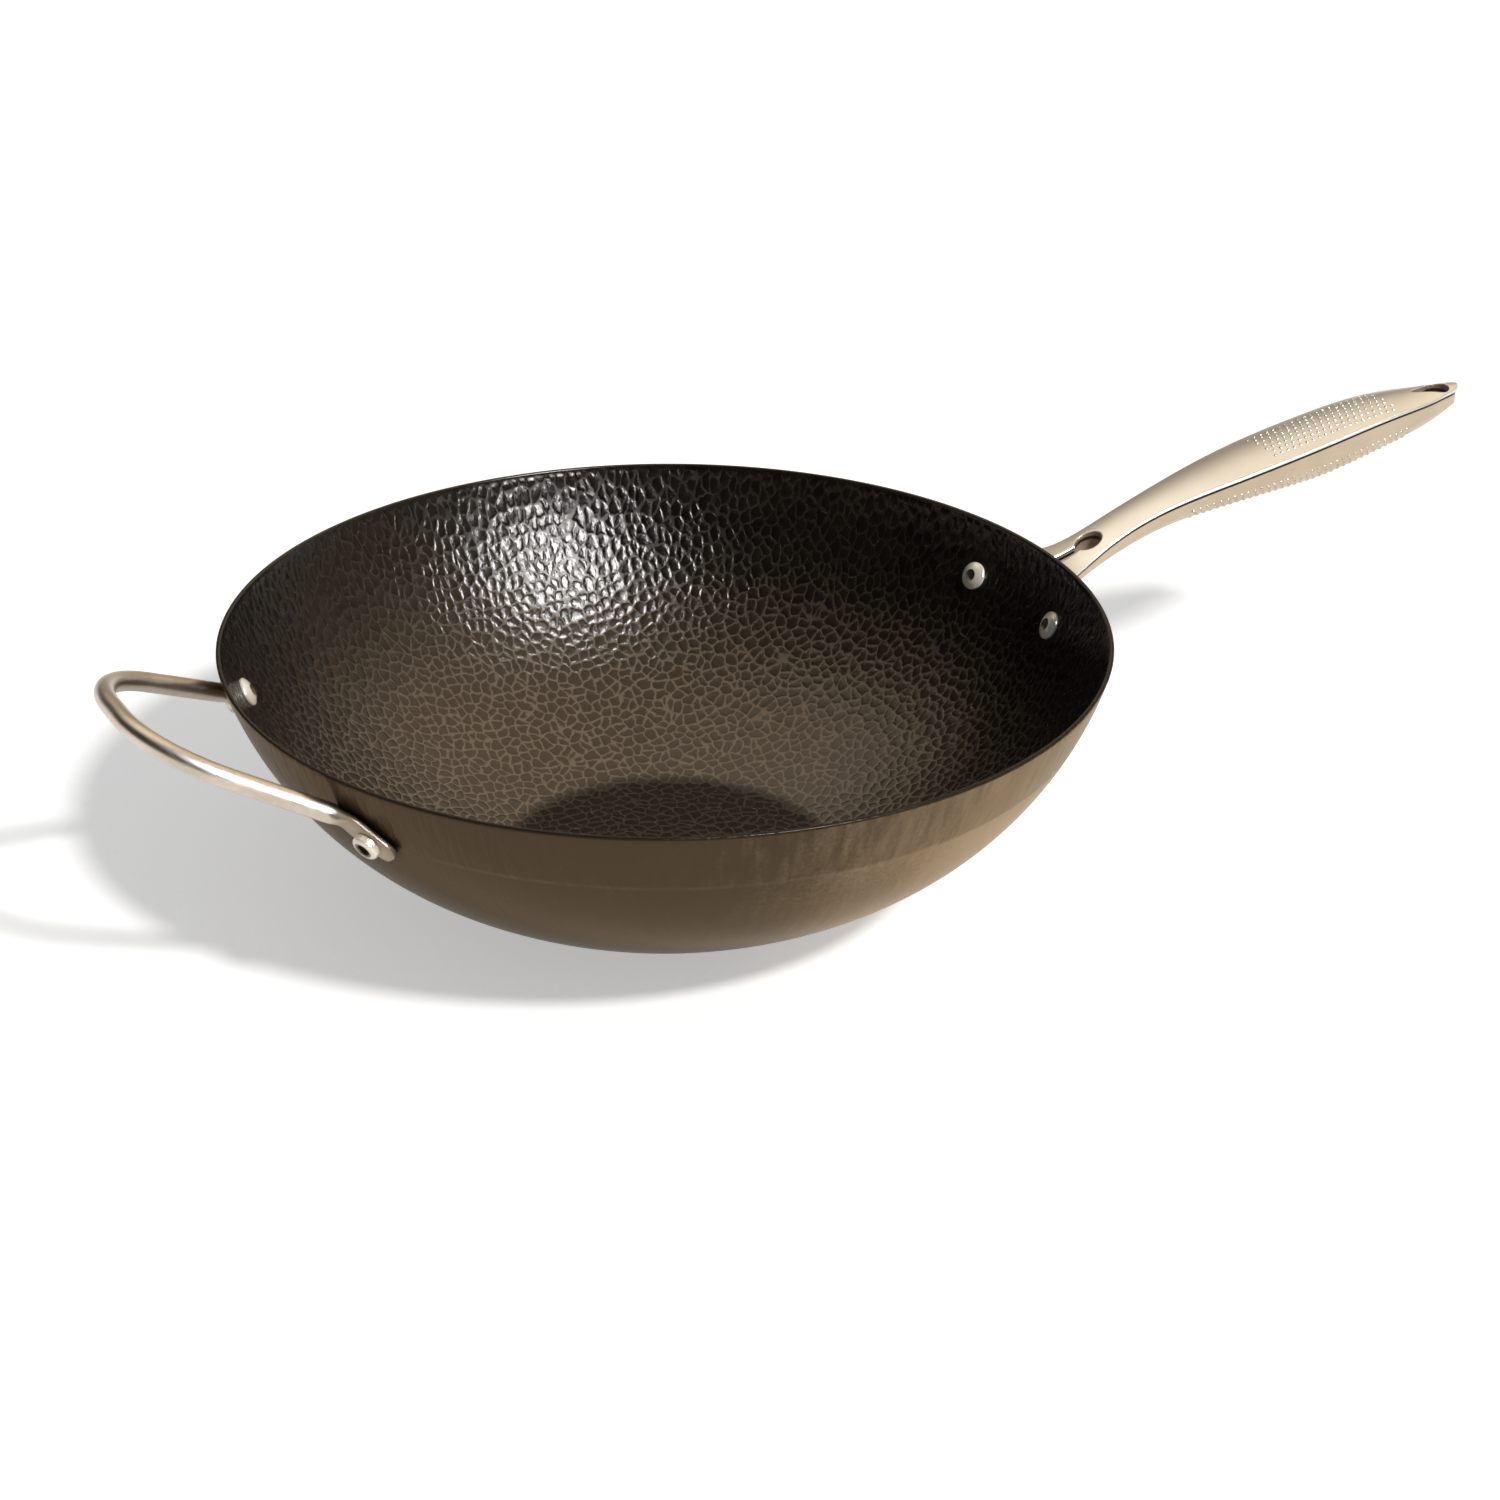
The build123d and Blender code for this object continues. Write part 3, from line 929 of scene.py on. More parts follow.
@dataclass
class Bowl:
    """The thin steel bowl, turned about the vertical axis."""

    wall: Wall
    around: int = 600
    rim_round: float = 0.5 * MM
    base_round: float = 2.5 * MM
    base_middle: float = 6.0 * MM
    floor_middle: float = 5.0 * MM
    inset: float = 0.02 * MM
    wall_steps: tuple[int, int] = (42, 80)
    flat_steps: tuple[int, int] = (8, 12)
    bend_steps: int = 6
    rim_steps: int = 11
    crisp: float = 40.0

    def profile(self) -> Array:
        """Outline of the wall from the middle of the base, up outside, over the rim and down inside.

        Returns:
            Array of (distance, height).
        """
        wall = self.wall
        thick = wall.thickness
        top = wall.height - self.rim_round
        (up_steps, down_steps), (base_steps, floor_steps) = self.wall_steps, self.flat_steps
        outside = wall.line(np.linspace(wall.base_angle, wall.slope_at(top), up_steps), 0.0)
        start = wall.base_radius - self.base_round
        bend = np.linspace(0.0, 1.0, self.bend_steps)[:-1, None]
        base_bend = bezier(bend, np.array([start, 0.0]), np.array([wall.base_radius, 0.0]), outside[1])
        base = columns(np.linspace(self.base_middle, start, base_steps)[:-1], 0.0)
        outside[:, 0] -= self.inset
        inner_top = wall.line(np.array([wall.slope_at(top, -thick)]), -thick)[0, 0]
        middle, half = (outside[-1, 0] + inner_top) / 2, (outside[-1, 0] - inner_top) / 2
        rim = arc((middle, top), (half, self.rim_round), np.linspace(0.0, math.pi, self.rim_steps)[1:-1])
        _, centre, radius = wall.arcs()[0]
        foot = math.acos((centre - thick) / (radius - thick))
        inside = wall.line(np.linspace(wall.slope_at(top, -thick), foot, down_steps), -thick)
        floor_edge = inside[-1, 0] - self.base_round
        floor_bend = bezier(bend, inside[-2], inside[-1], np.array([floor_edge, thick]))
        floor = columns(np.linspace(floor_edge, self.floor_middle, floor_steps), thick)
        return np.concatenate([base, base_bend, outside[1:], rim, inside[:-2], floor_bend, floor])

    def build(self, inside: Material, outside: Material) -> None:
        """Turns the outline about the axis: x and y are the distance times the angle's cosine and sine.

        Args:
            inside: finish of the cooking face.
            outside: finish of the outer face.
        """
        line = self.profile()
        turn = full_turn(self.around)
        distance, height = line[:, :1], line[:, 1:]
        piece = skin("bowl", columns(distance * np.cos(turn), distance * np.sin(turn), height), self.crisp)
        face_row = np.arange(len(piece.data.polygons)) // self.around
        index = (face_row >= int(np.argmax(line[:, 1]))).astype(np.int32)
        index[-2 * self.around : -self.around] = 0
        index[-self.around :] = 1
        piece.data.polygons.foreach_set("material_index", index)
        wear_slot(piece, Slot.BOWL, [outside, inside], "wok_body")


# Rivets


@dataclass
class Rivet:
    """Hollow rivet: a domed and dimpled head inside the wall and a rolled tail outside."""

    seat: Seat
    wall: Wall
    grip: float
    head_radius: float = 5.4 * MM
    head_height: float = 2.6 * MM
    head_edge: float = 0.7 * MM
    head_gap: float = 0.15 * MM
    tail_gap: float = 0.03 * MM
    dimple_radius: float = 2.0 * MM
    dimple_depth: float = 1.1 * MM
    dimple_fall: float = 0.35 * MM
    shank_radius: float = 2.4 * MM
    tail_radius: float = 4.9 * MM
    tail_height: float = 3.0 * MM
    tail_roll: float = 1.4 * MM
    bore_radius: float = 2.3 * MM
    bore_depth: float = 2.4 * MM
    bore_middle: float = 0.4 * MM
    lip: float = 0.5 * MM
    lip_gap: float = 0.3 * MM
    edge_round: float = 0.35 * MM
    around: int = 56
    turn_steps: int = 7
    dome_steps: int = 12
    dimple_steps: int = 6
    dimple_middle: float = 0.12
    bore_rows: int = 3
    crisp: float = 38.0

    def profile(self) -> Array:
        """Outline from the dimple's middle over the head, shank and tail to the bore's floor.

        The head is an arc of a ball that falls from its crown to its edge, and each lip is a quarter
        turn.

        Returns:
            Array of (distance from the rivet's axis, height along it).
        """
        head_seat = -self.wall.thickness - self.head_gap
        crown = head_seat - self.head_height
        turn = np.linspace(0.0, math.pi / 2, self.turn_steps)
        rise = self.head_height - self.head_edge
        ball = (self.head_radius**2 + rise**2) / (2 * rise)
        hollow = np.linspace(self.dimple_middle, 1.0, self.dimple_steps)
        hollow_z = crown + self.dimple_depth - self.dimple_fall * hollow**2
        dimple = columns(hollow * (self.dimple_radius - self.lip_gap), hollow_z)
        dome_end = self.head_radius - self.edge_round
        dome_r = np.linspace(self.dimple_radius + self.lip_gap, dome_end, self.dome_steps)
        dome = columns(dome_r, crown + ball - np.sqrt(ball**2 - dome_r**2))
        edge = arc(dome[-1] + [0.0, self.lip], (self.edge_round, self.lip), turn[1:] - math.pi / 2)
        foot = self.grip + self.tail_gap
        top = foot + self.tail_height
        floor = top - self.bore_depth
        tail = arc((self.tail_radius - self.tail_roll, top - self.tail_roll), self.tail_roll, turn)
        mouth = arc((self.bore_radius + self.lip, top - self.lip), self.lip, turn + math.pi / 2)
        corners = [
            [self.head_radius, head_seat],
            [self.shank_radius, head_seat],
            [self.shank_radius, foot],
            [self.tail_radius, foot],
        ]
        bore = [[self.bore_radius, floor], [self.bore_middle, floor]]
        return np.concatenate([dimple, dome, edge, corners, tail, mouth[1:], bore])

    def build(self, name: str, finish: Material, shaded_pit: Material, node: str) -> None:
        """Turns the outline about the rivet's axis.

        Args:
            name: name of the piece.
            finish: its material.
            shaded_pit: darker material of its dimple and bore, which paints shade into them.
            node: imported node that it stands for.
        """
        line = self.profile()
        out = arc((0.0, 0.0), 1.0, full_turn(self.around)) @ np.stack([self.seat.along, self.seat.up])
        rings = self.seat.point + line[:, :1, None] * out[None] + line[:, 1, None, None] * self.seat.normal
        piece = skin(name, rings, self.crisp)
        row = np.arange(len(piece.data.polygons)) // self.around
        # Painted shade: the dimple and bore faces take the darker material.
        inside = (row < self.dimple_steps) | (row >= len(line) - self.bore_rows)
        piece.data.polygons.foreach_set("material_index", inside.astype(np.int32))
        wear_slot(piece, Slot.RIVET, [finish, shaded_pit], node)


# Helper handle


@dataclass
class HelperHandle:
    """A round rod bent into a loop, its two ends flattened against the wall."""

    wall: Wall
    rod_radius: float = 3.55 * MM
    reach: float = 43.7 * MM
    rise: float = 12.7 * MM
    half_width: float = 33.5 * MM
    bend_radius: float = 38.0 * MM
    lug_half_width: float = 5.5 * MM
    lug_thickness: float = 3.4 * MM
    lug_tail: float = 9.5 * MM
    lug_root: float = 7.0 * MM
    lug_hollow: float = 280.0 * MM
    lug_square: float = 3.2
    lug_end_round: float = 1.0 * MM
    lug_end_share: float = 0.35
    lug_end_width: float = 0.05
    pinch_length: float = 10.5 * MM
    pinch_pull: float = 1.1
    wall_gap: float = 0.1 * MM
    lug_slope: float = math.radians(37.0)
    height_share: float = 0.777
    angle: float = math.radians(23.6)
    lug_steps: int = 24
    pinch_steps: int = 22
    leg_steps: int = 26
    bend_steps: int = 30
    bar_steps: int = 6
    around: int = 48
    crisp: float = 60.0

    def seat(self, side: int) -> Seat:
        """Where the rivet of one side passes the wall."""
        return self.wall.seat(self.height_share, side * (math.pi - self.angle))

    def half_path(self) -> tuple[Array, Array, Array, Array, Array]:
        """Middle line from the lug's end on the +Y side to the middle of the loop.

        The lug lies along the wall, an S-bend with a cubic blend lifts it into the straight leg, and
        an arc leads the leg into the crossbar.

        Returns:
            Points, face normals, half widths, half thicknesses and squareness at each.
        """
        seat = self.seat(1)
        run = -seat.along * math.cos(self.lug_slope) - seat.up * math.sin(self.lug_slope)
        lug_lift = seat.normal * (self.wall_gap + self.lug_thickness / 2)
        rod_lift = seat.normal * (self.wall_gap + self.rod_radius)
        rod_end = seat.point - run * (self.lug_root + self.pinch_length) + rod_lift
        wall = self.wall
        corner = np.array([-wall.rim_radius - self.reach, self.half_width, wall.height + self.rise])
        leg = corner - rod_end
        length = np.linalg.norm(leg)
        leg = leg / length
        cross = np.array([0.0, -1.0, 0.0])
        bend = math.acos(float(np.dot(leg, cross)))
        tangent = self.bend_radius * math.tan(bend / 2)
        start, end = corner - leg * tangent, corner + cross * tangent
        face = unit(np.cross(leg, cross))
        inward = np.cross(face, leg)
        inward = inward if np.dot(inward, end - start) > 0 else -inward
        ease = np.sin(np.linspace(-1.0, 1.0, self.lug_steps)[:, None] * math.pi / 2)
        along_lug = self.lug_tail - (ease + 1) / 2 * (self.lug_tail + self.lug_root)
        sag = along_lug**2 / (2 * self.lug_hollow)
        lug = seat.point + lug_lift + run * along_lug - seat.normal * sag
        t = np.linspace(0.0, 1.0, self.pinch_steps)[1:, None]
        pull = self.pinch_length * self.pinch_pull
        blend = hermite(t, lug[-1], rod_end, -run * pull, leg * pull)
        straight = rod_end + leg * np.linspace(0.0, length - tangent, self.leg_steps)[1:, None]
        turn = np.linspace(0.0, bend, self.bend_steps)[1:, None]
        curve = start + self.bend_radius * (inward * (1 - np.cos(turn)) + leg * np.sin(turn))
        bar = end + cross * np.linspace(0.0, end[1], self.bar_steps)[1:, None]
        points = np.concatenate([lug, blend, straight, curve, bar])
        round_part = np.ones(len(points) - len(lug) - len(blend))
        eased = (3 * t**2 - 2 * t**3)[:, 0]
        from_end = self.lug_tail - along_lug[:, 0]
        outer, rod, half = self.lug_half_width, self.rod_radius, self.lug_thickness / 2
        round_end = np.clip(1 - np.clip(1 - from_end / outer, 0, 1) ** 2, self.lug_end_width**2, 1)
        lug_width = outer * np.sqrt(round_end)
        lug_half = half * np.clip(from_end / self.lug_end_round, self.lug_end_share, 1.0)
        width = np.concatenate([lug_width, outer + (rod - outer) * eased, rod * round_part])
        thick = np.concatenate([lug_half, half + (rod - half) * eased, rod * round_part])
        share = np.concatenate([np.zeros(len(lug)), eased, round_part])
        square = self.lug_square + (2.0 - self.lug_square) * share
        loop_face = face if np.dot(face, seat.normal) > 0 else -face
        normals = seat.normal * (1 - share[:, None]) + loop_face * share[:, None]
        return points, normals, width, thick, square

    def build(self, finish: Material) -> None:
        """Carries a rounded section along the middle line.

        The section is a superellipse: each of the two half sizes times the cosine or the sine of the
        turn, raised to two over the squareness.

        Args:
            finish: its material.
        """
        points, normals, width, thick, square = self.half_path()
        points = np.concatenate([points, points[-2::-1] * MIRROR])
        normals = np.concatenate([normals, normals[-2::-1] * MIRROR])
        width, thick, square = (np.concatenate([a, a[-2::-1]])[:, None] for a in (width, thick, square))
        heading = unit(np.gradient(points, axis=0))
        normals = unit(normals - heading * np.sum(normals * heading, axis=1, keepdims=True))
        across = np.cross(heading, normals)
        turn = full_turn(self.around)
        circle = (np.cos(turn), np.sin(turn))
        wide, high = (np.sign(part) * np.abs(part) ** (2.0 / square) for part in circle)
        rings = points[:, None] + (wide * width)[..., None] * across[:, None]
        rings = rings + (high * thick)[..., None] * normals[:, None]
        wear_slot(skin("helper_loop", rings, self.crisp), Slot.ROD, [finish], "helper_handle")


@dataclass
class Riveting:
    """Where the four rivets sit, and the spots of painted shade round and in them and round the rod's ends.

    Each mark is a radius and how soft its edge is.
    """

    wall: Wall
    helper: HelperHandle
    long_share: float = 0.779
    long_angle: float = math.radians(10.1)
    long_grip: float = 3.7 * MM
    loop_grip: float = 3.5 * MM
    head_shadow: tuple = (8.0 * MM, 1.3 * MM)
    lug_shadow: tuple = (10.5 * MM, 2.0 * MM)
    lug_shade: tuple = (14.0 * MM, 3.0 * MM)
    tail_shade: tuple = (3.3 * MM, 0.4 * MM)
    tail_lift: float = 6.5 * MM

    def long_seats(self) -> list[Seat]:
        """Seats of the long handle's left and right rivet."""
        return [self.wall.seat(self.long_share, side * self.long_angle) for side in (1, -1)]

    def loop_seats(self) -> list[Seat]:
        """Seats of the helper handle's left and right rivet."""
        return [self.helper.seat(side) for side in (1, -1)]

    def spots(self, seats: list[Seat], lift: float, mark: tuple) -> Spots:
        """Marks of one kind at a lift above each seat."""
        return Spots(tuple(seat.point + seat.normal * lift for seat in seats), *mark)

    def rings(self) -> Spots:
        """Painted contact shadow round the heads inside the bowl."""
        return self.spots(self.long_seats() + self.loop_seats(), -self.wall.thickness, self.head_shadow)

    def rod_shadow(self) -> Spots:
        """Painted shadow of the rod round its ends on the bowl's outside."""
        return self.spots(self.loop_seats(), 0.0, self.lug_shadow)

    def rod_end_shade(self) -> Spots:
        """Painted shade on the rod's flattened ends."""
        return self.spots(self.loop_seats(), 0.0, self.lug_shade)

    def tail_shade_spots(self) -> Spots:
        """Painted shade in the middle of each rivet tail that clamps a rod end, which widens the dark of
        its bore.
        """
        return self.spots(self.loop_seats(), self.tail_lift, self.tail_shade)

    def build(self, finish: Material, shaded_pit: Material) -> None:
        """Builds the four rivets.

        Args:
            finish: their material.
            shaded_pit: darker material of their dimples and bores, which paints shade into them.
        """
        for label, long_seat, loop_seat in zip(("left", "right"), self.long_seats(), self.loop_seats()):
            long_rivet = Rivet(long_seat, self.wall, self.long_grip)
            long_rivet.build(f"long_rivet_{label}", finish, shaded_pit, f"handle_rivet_{label}")
            loop_rivet = Rivet(loop_seat, self.wall, self.loop_grip)
            loop_rivet.build(f"loop_rivet_{label}", finish, shaded_pit, f"helper_rivet_{label}")


# Long handle


@dataclass
class LongHandle:
    """The long handle: a crowned upper shell over a full lower one, forked round a keyhole."""

    wall: Wall
    reach: float = 198.8 * MM
    rise: float = 30.2 * MM
    half_width: float = 14.4 * MM
    crown: float = 2.3 * MM
    edge: float = 0.86 * MM
    edge_round: float = 0.7 * MM
    hole_round: float = 0.6 * MM
    prong_share: float = 0.025
    flare: float = math.radians(36.0)
    taper: float = math.radians(20.0)
    tip_round: float = 0.53
    keyhole_share: float = 0.112
    keyhole_radius: float = 5.0 * MM
    slot_half: float = 1.7 * MM
    mouth_half: float = 3.2 * MM
    hole_share: float = 0.9507
    hole_radius: float = 4.6 * MM
    hole_length: float = 17.5 * MM
    hole_point: float = 1.0 * MM
    depth: float = 16.8 * MM
    belly_out: float = 0.2 * MM
    under_inset: float = 0.15 * MM
    foot_round: float = 0.12 * MM
    cut_depth: float = 12.0 * MM
    cut_share: float = 1.004
    dot_pitch: float = 3.0 * MM
    dot_radius: float = 0.78 * MM
    dot_height: float = 0.38 * MM
    dot_margin: float = 2.6 * MM
    dot_sides: int = 10
    top_span: tuple = (262.5 * MM, 322.5 * MM)
    belly_span: tuple = (224.0 * MM, 327.5 * MM)
    belly_rows: tuple = (0.30, 0.42, 0.54, 0.66, 0.78)
    dot_rings: tuple = (1.0, 0.72, 0.34)
    dot_lifts: tuple = (-0.45, 0.55, 0.92)
    probe: float = 0.1 * MM
    probe_turn: float = 0.01
    shaft_steps: int = 170
    tip_steps: int = 30
    hole_steps: tuple[int, int] = (40, 12)
    keyhole_steps: int = 44
    slot_steps: int = 14
    edge_steps: int = 6
    crown_steps: int = 14
    under_shares: tuple = (0.0, 0.4, 0.8)
    cutter_crisp: float = 60.0
    reach_shares: tuple = (
        0.015, 0.063, 0.112, 0.181, 0.257, 0.401, 0.546, 0.654, 0.739, 0.836, 0.933, 1.005
    )
    width_shares: tuple = (
        1.172, 0.848, 0.688, 0.616, 0.652, 0.870, 0.995, 0.987, 0.938, 0.810, 0.500, 0.300
    )
    rise_shares: tuple = (
        -0.331, -0.262, -0.132, 0.065, 0.238, 0.477, 0.669, 0.795, 0.887, 0.954, 0.976, 0.985
    )
    crown_shares: tuple = (
        0.35, 0.40, 0.42, 0.45, 0.50, 0.80, 1.00, 1.00, 0.95, 0.92, 0.85, 0.55
    )
    depth_shares: tuple = (
        0.265, 0.295, 0.375, 0.490, 0.560, 0.710, 0.905, 1.000, 0.964, 0.833, 0.590, 0.240
    )
    square_shares: tuple = (
        0.97, 0.95, 0.90, 0.80, 0.72, 0.72, 0.72, 0.72, 0.72, 0.72, 0.72, 0.72
    )

    def place(self, share: float | Array) -> float | Array:
        """Place along the handle at a share of its reach."""
        return self.wall.rim_radius + self.reach * share

    def at(self, shares: tuple, size: float, x: Array) -> Array:
        """Size along the handle, from its shares at the stations."""
        return cubic_through(self.place(np.array(self.reach_shares)), np.array(shares) * size, x)

    def seam(self, x: Array) -> Array:
        """Height of the seam between the shells."""
        return self.wall.height + self.at(self.rise_shares, self.rise, x)

    def top(self, x: Array, y: Array) -> Array:
        """Height of the upper shell's crown: the seam, the edge and an arc across the handle.

        Args:
            x: places along the handle.
            y: places across it.

        Returns:
            Heights there.
        """
        half = self.at(self.width_shares, self.half_width, x)
        crown = self.at(self.crown_shares, self.crown, x)
        ball = (half**2 + crown**2) / (2 * crown)
        return self.seam(x) + self.edge + crown - ball + np.sqrt(ball**2 - y**2)

    def plan(self) -> tuple[Array, Array]:
        """Places along the handle and its half width there, closed by a rounded tip.

        A spline through the stations leads to the last one, and a cubic Bezier curve from there turns
        square across the tip.

        Returns:
            Places and half widths.
        """
        known = self.place(np.array(self.reach_shares[:-1]))
        widths = self.half_width * np.array(self.width_shares[:-1])
        shaft = np.linspace(self.place(self.prong_share), known[-1], self.shaft_steps)
        half = cubic_through(known, widths, shaft, (-math.tan(self.flare), -math.tan(self.taper)))
        end = self.place(1.0)
        lean = (end - known[-1]) * self.tip_round
        t = np.sin(np.linspace(0.0, math.pi / 2, self.tip_steps))[1:]
        tip_x = bezier(t, known[-1], known[-1] + lean, end, end)
        narrowed = half[-1] - lean * math.tan(self.taper)
        tip_half = bezier(t, half[-1], narrowed, half[-1] * self.tip_round, 0.0)
        return np.concatenate([shaft, tip_x]), np.concatenate([half, tip_half])

    def hanging_line(self) -> tuple[float, float]:
        """Places of the middles of the hanging hole's small and large end."""
        big = self.place(self.hole_share)
        return big + self.hole_radius - self.hole_length + self.hole_point, big

    def teardrop(self, grow: float) -> Array:
        """Outline of the hanging hole, two arcs and their common tangents.

        Args:
            grow: distance by which it is made larger.

        Returns:
            Array of (x, y).
        """
        small, big = self.hanging_line()
        lean = math.acos((self.hole_radius - self.hole_point) / (big - small))
        big_turn, small_turn = (lean - math.pi, math.pi - lean), (math.pi - lean, math.pi + lean)
        big_steps, small_steps = self.hole_steps
        round_end = arc((big, 0.0), self.hole_radius + grow, np.linspace(*big_turn, big_steps))
        point = arc((small, 0.0), self.hole_point + grow, np.linspace(*small_turn, small_steps))
        return np.concatenate([round_end, point])

    def keyhole(self, grow: float) -> Array:
        """Outline of the keyhole and its slot towards the wok.

        Args:
            grow: distance by which it is made larger.

        Returns:
            Array of (x, y).
        """
        radius, slot, mouth = self.keyhole_radius + grow, self.slot_half + grow, self.mouth_half + grow
        open_angle = math.pi - math.asin(slot / radius)
        turn = np.linspace(-open_angle, open_angle, self.keyhole_steps)
        circle = arc((self.place(self.keyhole_share), 0.0), radius, turn)
        run = np.linspace(0.0, 1.0, self.slot_steps)[1:]
        start_x = circle[-1, 0]
        near = columns(start_x + (self.wall.rim_radius - start_x) * run, slot + (mouth - slot) * run)
        return np.concatenate([circle, near, near[::-1] * MIRROR[:2]])

    def cutter(self, name: str, outline: Callable[[float], Array]) -> Piece:
        """Closed cutting shape whose walls flare in a quarter turn where they meet the crown.

        Args:
            name: name of the shape.
            outline: gives the outline made larger by a distance.

        Returns:
            The object.
        """
        rings = []
        for turn in (None, 0.0, 0.25, 0.5, 0.75, 1.0):
            angle = 0.0 if turn is None else turn * math.pi / 2
            line = outline(self.hole_round * (1 - math.cos(angle)))
            inside = np.clip(line[:, 0], None, self.place(self.cut_share))
            height = self.top(inside, line[:, 1])
            drop = self.hole_round * (1 - math.sin(angle))
            level = np.full(len(line), height.min() - self.cut_depth) if turn is None else height - drop
            rings.append(np.concatenate([line, level[:, None]], axis=1))
        above = rings[-1].copy()
        above[:, 2] = above[:, 2].max() + self.cut_depth
        return skin(name, np.stack(rings + [above]), self.cutter_crisp, flat_ends=True)

    def upper_rings(self) -> Array:
        """Sections of the upper shell: flat under, a short side, a quarter-turn edge and the crown.

        Returns:
            Array of rings for the skin.
        """
        x, half = self.plan()
        x, half = x[half > self.edge_round], half[half > self.edge_round]
        bend = np.minimum(self.edge_round, half / 2)
        inner = (half - bend)[:, None]
        turn = np.linspace(0.0, math.pi / 2, self.edge_steps)
        seam = self.seam(x)[:, None]
        under_y = (half - self.under_inset)[:, None] * np.array(self.under_shares)
        foot_y = half[:, None] - np.array([self.foot_round, 0.0])
        foot_z = seam + np.array([0.0, self.foot_round])
        edge_y = inner + bend[:, None] * np.cos(turn)
        edge_z = self.top(x, inner[:, 0])[:, None] - bend[:, None] * (1 - np.sin(turn))
        crown_y = inner * np.linspace(1.0, 0.0, self.crown_steps)[1:]
        crown_z = self.top(x[:, None], crown_y)
        side_y = np.concatenate([under_y, foot_y, edge_y, crown_y], axis=1)
        side_z = np.concatenate([seam + np.zeros_like(under_y), foot_z, edge_z, crown_z], axis=1)
        ring_y = np.concatenate([side_y, -side_y[:, -2:0:-1]], axis=1)
        ring_z = np.concatenate([side_z, side_z[:, -2:0:-1]], axis=1)
        return columns(x[:, None], ring_y, ring_z)

    def belly(self, x: Array, t: Array) -> Array:
        """Points of the lower shell's side and bottom, a cubic Bezier curve across the handle.

        Args:
            x: places along the handle.
            t: places along the curve, 0 at the seam and 1 at the middle of the bottom.

        Returns:
            Array of points.
        """
        half = self.at(self.width_shares, self.half_width, x) + self.belly_out
        depth = self.at(self.depth_shares, self.depth, x)
        square = self.at(self.square_shares, 1.0, x)
        y = bezier(t, half, half, half * square, 0.0)
        return columns(x, y, self.seam(x) - bezier(t, 0.0, depth * square, depth, depth))

    def staggered(self, span: tuple[float, float], rows: Array) -> tuple[Array, Array]:
        """Places along the handle and rows of dots, every other row moved on by half a pitch.

        Args:
            span: places of the first dot and of the end.
            rows: where the rows are.

        Returns:
            Place and row of each dot.
        """
        x, row = np.meshgrid(np.arange(*span, self.dot_pitch), rows, indexing="ij")
        x = x + (np.arange(len(rows)) % 2)[None] * self.dot_pitch / 2
        return x.ravel(), row.ravel()

    def top_dots(self) -> tuple[Array, Array]:
        """Places and normals of the small raised grip dots on the crown, in staggered rows.

        Returns:
            Points on the crown and the outward normals there.
        """
        x, y = self.staggered(self.top_span, np.arange(-3, 4) * self.dot_pitch)
        keep = np.abs(y) < self.at(self.width_shares, self.half_width, x) - self.dot_margin
        x, y = x[keep], y[keep]
        step = self.probe
        slope_x = (self.top(x + step, y) - self.top(x - step, y)) / (2 * step)
        slope_y = (self.top(x, y + step) - self.top(x, y - step)) / (2 * step)
        return columns(x, y, self.top(x, y)), columns(-slope_x, -slope_y, 1.0)

    def belly_dots(self) -> tuple[Array, Array]:
        """Places and normals of the grip dots on the lower shell's two sides, in staggered rows.

        Returns:
            Points on the sides and the outward normals there.
        """
        x, t = self.staggered(self.belly_span, np.array(self.belly_rows))
        run = self.belly(x + self.probe, t) - self.belly(x - self.probe, t)
        across = self.belly(x, t - self.probe_turn) - self.belly(x, t + self.probe_turn)
        normal = np.cross(run, across)
        normal *= np.sign(normal[:, 1:2])
        spots = self.belly(x, t)
        return np.concatenate([spots, spots * MIRROR]), np.concatenate([normal, normal * MIRROR])

    def build_dots(self, name: str, spots: Array, normals: Array, finish: Material) -> None:
        """Low round caps at given places, all in one piece.

        Each cap is three rings round its middle. The outermost lies below the surface, so that a low
        dome stands out of it.

        Args:
            name: name of the piece.
            spots: places of the caps.
            normals: outward directions there, of any length.
            finish: their material.
        """
        count = self.dot_sides
        turn = full_turn(count)
        radius = self.dot_radius * np.array(self.dot_rings)[:, None]
        lift = self.dot_height * np.array(self.dot_lifts)[:, None]
        rings = columns(radius * np.cos(turn), radius * np.sin(turn), lift)
        cap = np.concatenate([rings.reshape(-1, 3), [[0.0, 0.0, self.dot_height]]])
        up = unit(normals)
        side = unit(np.cross(up, np.array([1.0, 0.0, 0.0])))
        axes = np.stack([side, np.cross(up, side), up], axis=1)
        points = (spots[:, None] + np.einsum("ck,nkj->ncj", cap, axes)).reshape(-1, 3)
        index = np.arange(count)
        after = np.roll(index, -1)
        band = columns(index, after, after + count, index + count)
        quads = np.concatenate([band, band + count])
        tops = columns(index, after, count) + 2 * count
        shift = (np.arange(len(spots)) * len(cap))[:, None, None]
        faces = (quads[None] + shift).reshape(-1, 4).tolist() + (tops[None] + shift).reshape(-1, 3).tolist()
        wear_slot(new_piece(name, points, faces), Slot.HANDLE, [finish], None)

